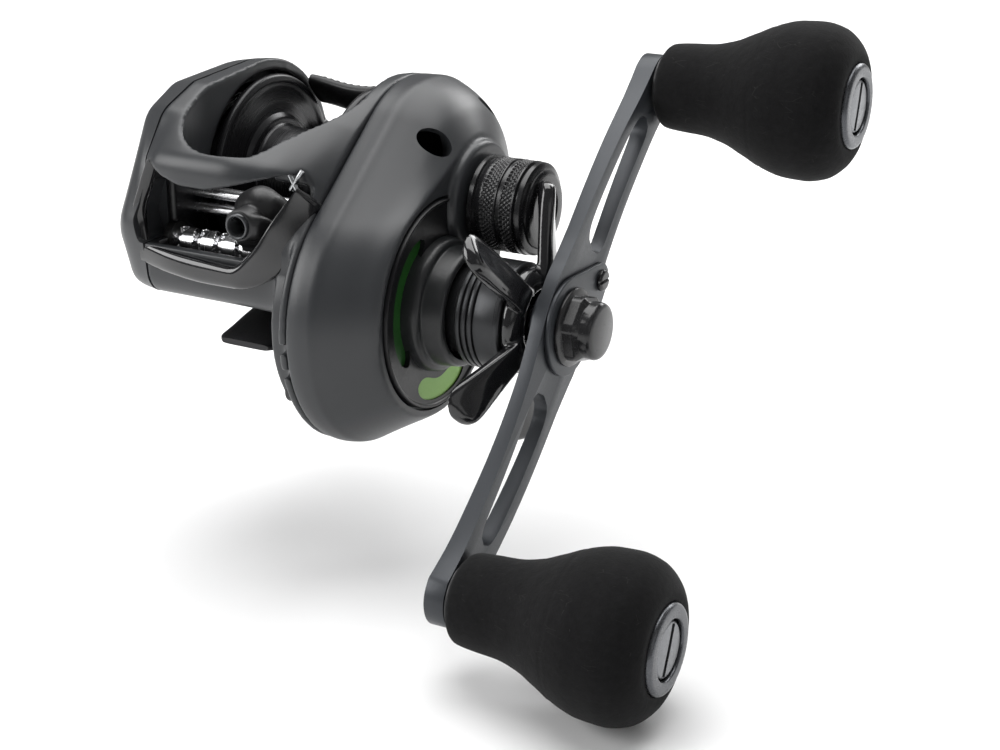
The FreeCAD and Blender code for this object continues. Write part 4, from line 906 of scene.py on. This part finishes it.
def cap_profile():
    band_one, band_two = (np.linspace(low, high, 17) for low, high in BANDS)
    head = [(34.6, 6.3), (34.6, 8.0), (34.9, 8.4), (35.7, 8.4), (35.8, 7.9), (36.3, 7.9), (36.8, 8.25)]
    gap = [(40.1, 8.25), (40.2, 7.95), (40.9, 7.95), (41.0, 8.25)]
    tail = [(43.5, 8.25), (43.7, 7.7), (44.0, 7.7), (44.2, 8.2), (44.9, 8.1), (45.2, 7.6), (45.3, 6.9),
            (45.6, 6.9), (45.9, 6.5), (46.0, 6.0), (46.0, 4.6), (45.6, 4.3), (45.5, 0.5), (42.05, 0.5),
            (42.05, 6.3)]
    return head + [(x, 8.25) for x in band_one] + gap + [(x, 8.25) for x in band_two] + tail


cap = turned("cap", cap_profile(), SPOOL, 360, crease=50, relief=knurl)
install(cap, "tension_knob", "tension_cap_body", CAP_BLACK, ["tension_cap"])

# %% [markdown]
# ## The crank
# The blade is stamped and then machined: wide at the middle, two slots shaped like drops,
# round ends for the knobs.  Its back face reaches towards the body out at the ends, and a
# Bevel gives the soft edge.

# %% handle blade
UP = KNOBS["upper"] - DRIVE
LENGTH = np.linalg.norm(UP)
UP = UP / LENGTH
ACROSS = np.array([-UP[1], UP[0]])


def blade_point(along, side):
    """A point of the blade's plane, along and across the crank, from the drive axis."""
    return DRIVE + along * UP + side * ACROSS


BOW = 2.2  # sideways lean of each arm at mid length
BLADE_BACK, BLADE_FRONT = 54.7, 57.0
DEEPEN = 1.2  # how far the back face has moved towards the body at the knobs
TIP = 5.3  # radius of the blade's round ends


def blade_outline():
    """Half width against the distance from the shaft, the same for both arms, with a
    gentle S: the arms' middle line leans by BOW sin(pi s / L)."""
    along = np.linspace(-LENGTH, LENGTH, 220)
    s = np.abs(along)
    half = curve_through([0, 3, 8, 13, 20, 34, 44, LENGTH], [8.6, 8.5, 7.6, 6.8, 6.3, 5.6, 5.1, 5.4], s)
    lean = BOW * np.sin(np.pi * along / LENGTH)
    cap = np.linspace(-np.pi / 2, np.pi / 2, 26)[1:-1]
    side = np.stack([along, half + lean], -1)
    back = np.stack([along, -half + lean], -1)
    top = np.stack([LENGTH + TIP * np.cos(cap[::-1]), TIP * np.sin(cap[::-1])], -1)
    bottom = np.stack([-LENGTH - TIP * np.cos(cap), TIP * np.sin(cap)], -1)
    loop = np.vstack([side, top, back[::-1], bottom])
    return np.stack([blade_point(a, b) for a, b in even(loop, 420)])


def drop(start, end, blunt, sharp, lean):
    """A slot: half width falls from blunt at the hub end to sharp at the far end."""
    t = np.linspace(0, 1, 40)
    along = start + (end - start) * t
    half = (blunt + (sharp - blunt) * t) * np.sqrt(np.clip(1 - (2 * np.abs(t - 0.5)) ** 9, 0, 1))
    middle = lean * np.sin(np.pi * along / LENGTH)
    loop = np.vstack([np.stack([along, middle + half], -1),
                      np.stack([along, middle - half], -1)[::-1][1:-1]])
    return prism(0, np.stack([blade_point(a, b) for a, b in loop]), 50, 60)


blade = prism(0, blade_outline(), BLADE_BACK, BLADE_FRONT)
blade = combine(blade, [drop(14.0, 42.0, 3.8, 2.7, BOW), drop(-12.6, -40.5, 3.8, 2.6, BOW)])
for corner in blade.data.vertices:
    out = math.hypot(corner.co.y - DRIVE[0] * MM, corner.co.z - DRIVE[1] * MM) / (LENGTH * MM)
    if corner.co.x < (BLADE_BACK + BLADE_FRONT) / 2 * MM:
        corner.co.x -= DEEPEN * MM * min(out, 1.0) ** 2
hub_rows = [(53.0, 3.2), (53.0, 6.2), (53.4, 6.6), (55.2, 6.6), (55.2, 3.2)]
blade = combine(blade, [turned("boss", rounded(hub_rows, 0.2), DRIVE)], "UNION")
bevelled(blade, 0.6, 4, 40)
install(blade, "crank_blade", "handle_body", BLADE, ["handle_blade"])


# %% nut and retainer
def polygon_ring(count, radius, segments, turn):
    """Radius of a polygon in each direction: the flat's distance over the cosine of the
    angle from its middle, with the corners cut off at 95% of the corner circle."""
    angle = full_turn(segments)
    off = (angle - turn + np.pi / count) % (2 * np.pi / count) - np.pi / count
    flat = radius * math.cos(math.pi / count) / np.cos(off)
    return angle, np.minimum(flat, radius * 0.95)


def nut():
    """A washer face, a short hexagon and a round nose with a rolled edge."""
    rows = [(57.9, 6.7, 0), (58.5, 6.7, 0), (58.8, 6.2, 1), (60.6, 6.2, 1), (61.3, 5.5, 1),
            (61.5, 4.9, 0), (62.9, 4.9, 0), (63.4, 4.6, 0), (63.68, 3.8, 0)]
    rings = []
    for x, radius, six in rows:
        angle, shape = polygon_ring(6, radius, 144, 0.25)
        r = shape if six else np.full_like(shape, radius)
        rings.append(np.column_stack([np.full(144, x), DRIVE[0] + r * np.cos(angle),
                                      DRIVE[1] + r * np.sin(angle)]))
    return closed_grid("nut", rings, crease=24)


nut_piece = bevelled(nut(), 0.18, 2, 30)
install(nut_piece, "crank_nut", "handle_body", CAP_BLACK, ["handle_nut"])
SCREW = DRIVE + 12.3 * heading(24)[0]
plate = prism(0, band([(*DRIVE, 8.5), (*SCREW, 3.0)]), BLADE_FRONT, 57.85)
plate = bevelled(plate, 0.25, 3, 40)
install(plate, "nut_keeper", "handle_body", BLADE, ["nut_retainer"])
screw_rows = [(55.3, 0.05), (55.3, 1.4), (57.2, 1.4), (57.2, 1.9), (57.5, 1.9), (58.4, 1.9), (58.7, 1.5),
              (58.7, 0.05)]
screw = turned("screw", rounded(screw_rows, 0.2), SCREW, 64)
slot_cut = block((58.2, SCREW[0] - 3, SCREW[1] - 0.3), (60, SCREW[0] + 3, SCREW[1] + 0.3))
screw = combine(screw, [slot_cut])
soften(screw, 30)
install(screw, "keeper_screw", "handle_body", CAP_BLACK, ["retainer_screw"])

# %% [markdown]
# ## The knobs
# Foam is turned on a grinder: a neck, a swelling and a flat end.  The profile is a smooth
# curve, and a very shallow height field keeps the skin from looking like a machined part.

# %% knobs
def knob_profile():
    x = np.array([58.0, 58.15, 59.0, 62.0, 66.0, 70.0, 74.0, 78.0, 82.0, 85.5, 88.6, 91.0, 92.2, 92.4,
                  92.4])
    r = np.array([5.4, 6.6, 7.4, 7.75, 8.0, 8.9, 10.6, 12.4, 13.4, 13.55, 12.9, 11.2, 9.4, 8.6, 7.45])
    run = np.concatenate([[0], np.cumsum(np.hypot(np.diff(x), np.diff(r)))])
    where = np.linspace(0, run[-1], 110)
    outer = np.stack([curve_through(run, x, where), curve_through(run, r, where)], -1)
    return np.vstack([outer, [(90.4, 7.45), (90.3, 4.6), (75.0, 4.4), (60.0, 4.4), (58.0, 4.6)]])


def foam_skin(seed):
    """Low bumps: a sum of a few sines in x and the angle, and a faint belt at mid length."""
    rng = np.random.default_rng(seed)
    phase = rng.uniform(0, 2 * np.pi, 24)
    turns = rng.integers(3, 26, 24)
    waves = rng.uniform(0.3, 2.4, 24)

    def relief(x, radius, angle):
        bumps = sum(np.sin(n * angle + w * x + p) for n, w, p in zip(turns, waves, phase)) / 24
        belt = np.exp(-((x - 77.5) / 0.35) ** 2)
        return radius + np.where(radius > 8.0, 0.055 * bumps - 0.07 * belt, 0)
    return relief


def knob_parts(side, centre, seed, lean):
    grip = turned("grip", knob_profile(), centre, 180, crease=50, relief=foam_skin(seed))
    grip_body = "knob_%s_body" % side
    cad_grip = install(grip, "foam_grip_" + side, grip_body, FOAM, ["knob_grip_" + side])
    cap_rows = [(90.35, 4.85), (90.35, 7.2), (92.7, 7.3), (93.15, 7.0), (93.28, 6.6), (93.28, 5.0),
                (93.0, 4.85)]
    rim = turned("rim", rounded(cap_rows, 0.2), centre, 128)
    install(rim, "knob_rim_" + side, grip_body, GUNMETAL, ["knob_cap_" + side])
    plug_rows = [(90.4, 0.05), (90.4, 4.55), (92.6, 4.55), (92.95, 4.2), (93.0, 0.05)]
    plug = turned("plug", rounded(plug_rows, 0.2), centre, 96)
    along, across = heading(lean)
    corners = [centre + along * u + across * v for u, v in ((-4.1, -0.55), (4.1, -0.55), (4.1, 0.55),
                                                            (-4.1, 0.55))]
    plug = combine(plug, [prism(0, corners, 92.0, 95)])
    soften(plug, 30)
    install(plug, "knob_plug_" + side, grip_body, NICKEL, ["knob_insert_" + side])


NICKEL = material("dull_nickel", (0.16, 0.165, 0.175), (0.22, 0.225, 0.235), (0.26, 0.4), metallic=0.9)
knob_parts("upper", KNOBS["upper"], 11, 74)
knob_parts("lower", KNOBS["lower"], 23, 66)

# %% [markdown]
# ## The spool
# The spool carries no line.  Both black flanges are dished towards the core and end in a
# fine bead.

# %% spool
left = np.array([(-3.5, 8.3), (-9.0, 8.6), (-10.0, 9.6), (-10.5, 12.5), (-10.6, 15.6), (-10.4, 16.5),
                 (-10.6, 17.6), (-11.3, 17.9), (-12.2, 17.6), (-12.2, 12.5), (-11.0, 11.6), (-9.4, 10.0),
                 (-9.0, 1.7)])
right = left[::-1] * np.array([-1, 1])
spool = turned("spool", rounded(np.vstack([left, right]), 0.35, 4), SPOOL, 160, crease=35)
install(spool, "line_spool", "spool_body", SPOOL_BLACK, ["spool"])

# %% [markdown]
# ## The level wind
# A worm with crossed grooves pushes the line guide to and fro.  Its two grooves are the
# same helix run both ways, so the lands between them come out as diamonds.

# %% worm
def worm_relief(x, radius, angle):
    """Depth 0.75 wherever either helix is nearer than half the groove's width."""
    pitch, half = 4.45, 0.5
    live = (x > -14.5) & (x < 13.5) & (radius > 2.2)
    turn = angle - math.radians(156)
    away = [np.abs((x + 0.2 - sign * pitch * turn / (2 * np.pi) + pitch / 2) % pitch - pitch / 2)
            for sign in (1, -1)]
    depth = sum(np.clip((half - near) / 0.18 + 0.5, 0, 1) for near in away)
    return radius - np.where(live, 0.75 * np.clip(depth, 0, 1), 0)


stations = np.linspace(-15.2, 14.6, 190)
worm_profile = [(-15.75, 0.4), (-15.75, 1.2), (-15.3, 1.5)] + [(x, 2.4) for x in stations] + \
    [(14.9, 1.5), (20.4, 1.4), (20.55, 0.4)]
worm = turned("worm", worm_profile, WORM, 96, crease=40, relief=worm_relief)
install(worm, "level_worm", "worm_body", CHROME, ["worm_shaft"])


# %% line guide
GUIDE = 3.5


def guide_block():
    """Hull sections across x: narrow shoulders at both ends, a tall hump between, and a
    snout that looks down the line."""
    hump = loft("hump", [-5.0, -3.2, 0, 3.2, 5.0], [[(-27.2, 25.2, 1.6), (-27.6, 25.6, 2.6),
                                                     (-27.8, 26.0, 3.4), (-27.6, 25.2, 2.8),
                                                     (-27.2, 24.4, 1.6)],
                                                    [(-28.0, 20.6, 1.8), (-28.6, 21.0, 2.6),
                                                     (-29.4, 22.0, 3.0), (-28.6, 21.0, 2.4),
                                                     (-28.0, 20.6, 1.6)],
                                                    [(-24.0, 23.6, 1.8), (-24.0, 23.8, 2.0),
                                                     (-24.0, 24.0, 2.2), (-24.0, 23.8, 2.0),
                                                     (-24.0, 23.4, 1.8)]], np.linspace(-5, 5, 25))
    hump.data.transform(Matrix.Translation((GUIDE * MM, 0, 0)))
    snout = rod_along(1, (GUIDE, 24.0), 2.8, -34.7, -27, 64)
    base = block((GUIDE - 2.6, -30.6, 14.6), (GUIDE + 2.6, -25.4, 22))
    beak = strap("beak", [(GUIDE + 1, -33.4, 26.4), (GUIDE + 3.6, -32.6, 25.6),
                          (GUIDE + 5.1, -31.0, 24.2)], [(GUIDE + 1, -33.4, 21.2),
                                                        (GUIDE + 3.6, -32.4, 21.6),
                                                        (GUIDE + 5.1, -31.0, 22.8)], (3.4, 3.6, 1.8),
                 (0, -1, 0), 2.4)
    whole = combine(hump, [snout, base, beak], "UNION")
    bores = [rod_along(1, (GUIDE, 24.0), 1.9, -40, -15, 48), rod_along(0, WORM, 2.55, -20, 20, 48),
             rod_along(0, (-23.0, 22.3), 1.25, -20, 20, 32),
             rod_along(0, (-23.0, 25.3), 1.25, -20, 20, 32)]
    whole = combine(whole, bores)
    melt(whole, 0.24, 3)
    return whole


carriage = guide_block()
soften(carriage, 60)
install(carriage, "guide_carriage", "guide_body", SATIN, ["line_guide_carriage"])
angle = full_turn(64)
eye_profile = rounded([(-35.35, 1.85), (-35.35, 2.15), (-34.9, 2.35), (-32.2, 2.35), (-31.7, 2.1),
                       (-31.7, 1.7), (-33.4, 1.6), (-34.9, 1.65)], 0.3)
rings = np.stack([GUIDE + eye_profile[:, 1:2] * np.cos(angle), np.repeat(eye_profile[:, :1], 64, 1),
                  24.0 + eye_profile[:, 1:2] * np.sin(angle)], -1)
eye = closed_grid("eye", rings, close_rows=True)
install(eye, "guide_ring", "guide_body", CERAMIC, ["line_guide_eye"])


# %% [markdown]
# Two crossed bits of spring wire show under the bridge.

# %% clutch springs
def wire(name, points, radius, count=48, sides=16):
    """A round rod along a smooth path: circles in the planes square to the path."""
    path = smooth_path(points, count)
    tangent = np.gradient(path, axis=0)
    tangent /= np.linalg.norm(tangent, axis=1, keepdims=True)
    helper = np.array([1.0, 0, 0]) if abs(tangent[0][0]) < 0.8 else np.array([0, 1.0, 0])
    side = np.cross(tangent, helper)
    side /= np.linalg.norm(side, axis=1, keepdims=True)
    up = np.cross(side, tangent)
    turn = full_turn(sides)
    rings = path[:, None] + radius * (side[:, None] * np.cos(turn)[None, :, None]
                                      + up[:, None] * np.sin(turn)[None, :, None])
    return closed_grid(name, rings)


bits = wire("bits", [(11.0, -30.4, 34.2), (12.3, -30.7, 32.2), (13.6, -30.9, 30.2)], 0.42)
bits = combine(bits, [wire("leg", [(14.0, -30.2, 33.9), (13.0, -30.7, 32.2), (12.0, -30.9, 30.6)], 0.42)],
               "UNION")
soften(bits, 40)
install(bits, "clutch_spring", "frame_body", STEEL)

# %% [markdown]
# ## The foot, the thumb bar and the brake dial
# The foot is a thin saddle with long ramps.  The thumb bar is what frees the spool, and
# its ribs stop the thumb from slipping.  The dial on the palm side turns the magnets.

# %% foot
def foot():
    """Rows along Y: half width 6.3 drawn in by up to 22% at the ends, thickness from 1.1
    at the tips to 3.75 in the middle by a smooth step."""
    y = np.linspace(-29.8, 29.8, 90)
    end = np.clip((np.abs(y) - 26.8) / 3.05, 0, 1)
    half = 6.3 * (1 - 0.22 * end ** 3)
    ramp = np.clip((29.8 - np.abs(y)) / 13.0, 0, 1)
    thick = 1.1 + 2.65 * ramp * ramp * (3 - 2 * ramp)
    u, v = oval_angles(48, 5.0)
    x = half[:, None] * u[None]
    z = thick[:, None] / 2 + (thick[:, None] / 2) * v[None]
    return closed_grid("foot", np.stack([x, np.repeat(y[:, None], 48, 1), np.clip(z, 0, 9)], -1),
                       crease=40)


foot_piece = combine(foot(), [rod_along(2, (0, 13), 2.9, 1.5, 6.25, 64)], "UNION")
foot_piece = combine(foot_piece, [rod_along(2, (0, y), 1.55, -1, 7, 48) for y in (-13, 0, 13)])
soften(foot_piece, 35)
install(foot_piece, "reel_saddle", "frame_body", FOOT, ["reel_foot"])

# %% thumb bar
THUMB_TURN = 40  # degrees round the spool axis from +Y


def thumb_pad():
    """In the spool's polar frame: a bar 7.2 long round the axis that dips by 1.4 at mid
    width, its top face ribbed by 0.14 cos(2 pi x / 1.6)."""
    x = np.linspace(-11.75, 11.75, 120)
    u, v = oval_angles(44, 3.2)
    end = np.clip((np.abs(x) - 10.8) / 1.0, 0, 1)
    shrink = np.sqrt(np.clip(1 - end ** 2.5, 0.02, 1))
    along = 3.6 * u[None] * shrink[:, None]
    high = 1.2 * v[None] * shrink[:, None] + 19.6 - 1.4 * np.cos(np.pi * x[:, None] / 24) ** 2
    rib = (v[None] > 0.6) * (np.abs(x[:, None]) < 8.5) * 0.14 * np.cos(2 * np.pi * x[:, None] / 1.6)
    high = high + rib
    out, side = heading(THUMB_TURN)
    y = SPOOL[0] + high * out[0] + along * side[0]
    z = SPOOL[1] + high * out[1] + along * side[1]
    return closed_grid("pad", np.stack([np.repeat(x[:, None], 44, 1), y, z], -1), crease=40)


install(thumb_pad(), "thumb_release", "thumb_bar_body", SATIN, ["thumb_bar"])

# %% brake dial
def dial_grip(x, radius, angle):
    """Twelve narrow finger grooves in the rim: depth 0.5 cos(6 a)^16."""
    return radius - np.where((radius > 7.5) & (x < -25.9), 0.5 * np.cos(6 * angle) ** 16, 0)


dial = turned("dial", rounded([(-22.5, 3.0), (-22.5, 5.0), (-25.7, 5.2), (-25.7, 9.0), (-27.4, 8.9),
                               (-27.9, 8.3), (-28.0, 6.6), (-27.5, 6.2), (-27.5, 3.0)], 0.25), SPOOL, 192,
              relief=dial_grip)
knob_bar = block((-27.95, SPOOL[0] - 5.8, SPOOL[1] - 0.9), (-27.2, SPOOL[0] + 5.8, SPOOL[1] + 0.9))
plug = rod_along(0, SPOOL, 4.5, -27.6, -23)
dial = combine(dial, [plug, knob_bar], "UNION")
soften(dial, 30)
install(dial, "brake_wheel", "brake_dial_body", SATIN, ["brake_dial"])

# %% [markdown]
# ## Finishes for the pieces kept from the CAD model
# Bearings, gears, washers and shafts are already the right shape.  Each gets the finish
# of its own material slot, turned parts with rings about their own shaft.

# %% CAD finishes
SLOT_FINISH = {"body_grey": PAINT, "gloss_black": GLOSS, "matte_black": SATIN, "foot_black": FOOT,
               "green_accent": GREEN, "spool_black": SPOOL_BLACK, "chrome_steel": CHROME,
               "bearing_steel": STEEL, "brass": BRASS, "carbon": CARBON, "blade_grey": BLADE,
               "gunmetal": GUNMETAL, "eva_foam": FOAM, "white_nylon": NYLON, "ceramic": CERAMIC}
SPECIAL_FINISH = {"worm_bushings": DARK_NYLON, "cover_screws": SATIN}
for row in frame["record"]["subparts"]:
    finish = SLOT_FINISH[row["material_slot"]]
    middle = (span(row["node"])[0] + span(row["node"])[1])[1:] / 2
    if finish is STEEL and np.linalg.norm(middle - DRIVE) < np.linalg.norm(middle - SPOOL):
        finish = DRIVE_STEEL
    slots = frame["nodes"][row["node"]].data.materials
    slots.clear()
    slots.append(SPECIAL_FINISH.get(row["node"], finish))

# %% [markdown]
# ## Floor, light and camera
# A pale seamless sweep, one large soft light above and behind, a key and a faint fill in
# front, a rim light behind, and a long lens.

# %% studio
def sweep_floor(level):
    """A sheet that runs flat and then curls up behind: z rises as a quarter circle."""
    depth = np.concatenate([np.linspace(-1.6, 0.9, 12),
                            0.9 + 0.5 * np.sin(np.linspace(0, np.pi / 2, 18))[1:], [1.4, 1.4]])
    height = np.concatenate([np.zeros(12), 0.5 - 0.5 * np.cos(np.linspace(0, np.pi / 2, 18))[1:],
                             [1.2, 2.4]])
    across = 20
    x, d = np.meshgrid(np.linspace(-2.6, 2.6, across), depth)
    z = np.repeat(height[:, None], across, 1) + level
    points = np.stack([x, d, z], -1).reshape(-1, 3) / MM
    corners = [r * across + c for r in range(len(depth) - 1) for c in range(across - 1)]
    return mesh_object("floor", points, [(k, k + 1, k + across + 1, k + across) for k in corners])


CAMERA = np.array([0.1890, -0.2817, 0.1138])
TOWARDS = -np.array([0.4477, -0.8199, 0.3569])
floor = sweep_floor(cad_low[2] - 0.0005)
floor.data.transform(Matrix.Rotation(math.atan2(TOWARDS[0], TOWARDS[1]), 4, "Z"))
pale = bpy.data.materials.new("pale_paper")
pale.use_nodes = True
feed(pale.node_tree.nodes["Principled BSDF"], {"Base Color": (0.90, 0.90, 0.90, 1), "Roughness": 0.9})
floor.data.materials.append(pale)


def area_light(name, place, size, power):
    """A square lamp of this size in metres and power in watts, turned to the reel."""
    data = bpy.data.lights.new(name, "AREA")
    data.shape, data.size, data.energy = "SQUARE", size, power
    light = link_object(name, data)
    light.location = place
    light.rotation_euler = (REEL_MIDDLE - Vector(place)).to_track_quat("-Z", "Y").to_euler()


REEL_MIDDLE = Vector((0.03, -0.016, 0.01))
area_light("overhead", (-0.10, 0.16, 0.85), 0.9, 10.5)
area_light("key", (-0.55, -0.50, 0.38), 0.5, 4.5)
area_light("fill", (0.75, -0.45, 0.35), 0.5, 0.4)
area_light("rim", (0.15, 0.7, 0.45), 0.4, 3.0)
world = bpy.data.worlds.new("studio")
world.use_nodes = True
feed(world.node_tree.nodes["Background"], {"Color": (1, 1, 1, 1), "Strength": 0.2})
bpy.context.scene.world = world
bpy.context.scene.view_settings.view_transform = "Standard"

lens = bpy.data.cameras.new("camera")
lens.lens, lens.sensor_width, lens.clip_start = 67.42, 36.0, 0.01
camera = link_object("camera", lens)
camera.location = CAMERA
camera.rotation_euler = Vector(TOWARDS).to_track_quat("-Z", "Y").to_euler()
bpy.context.scene.camera = camera
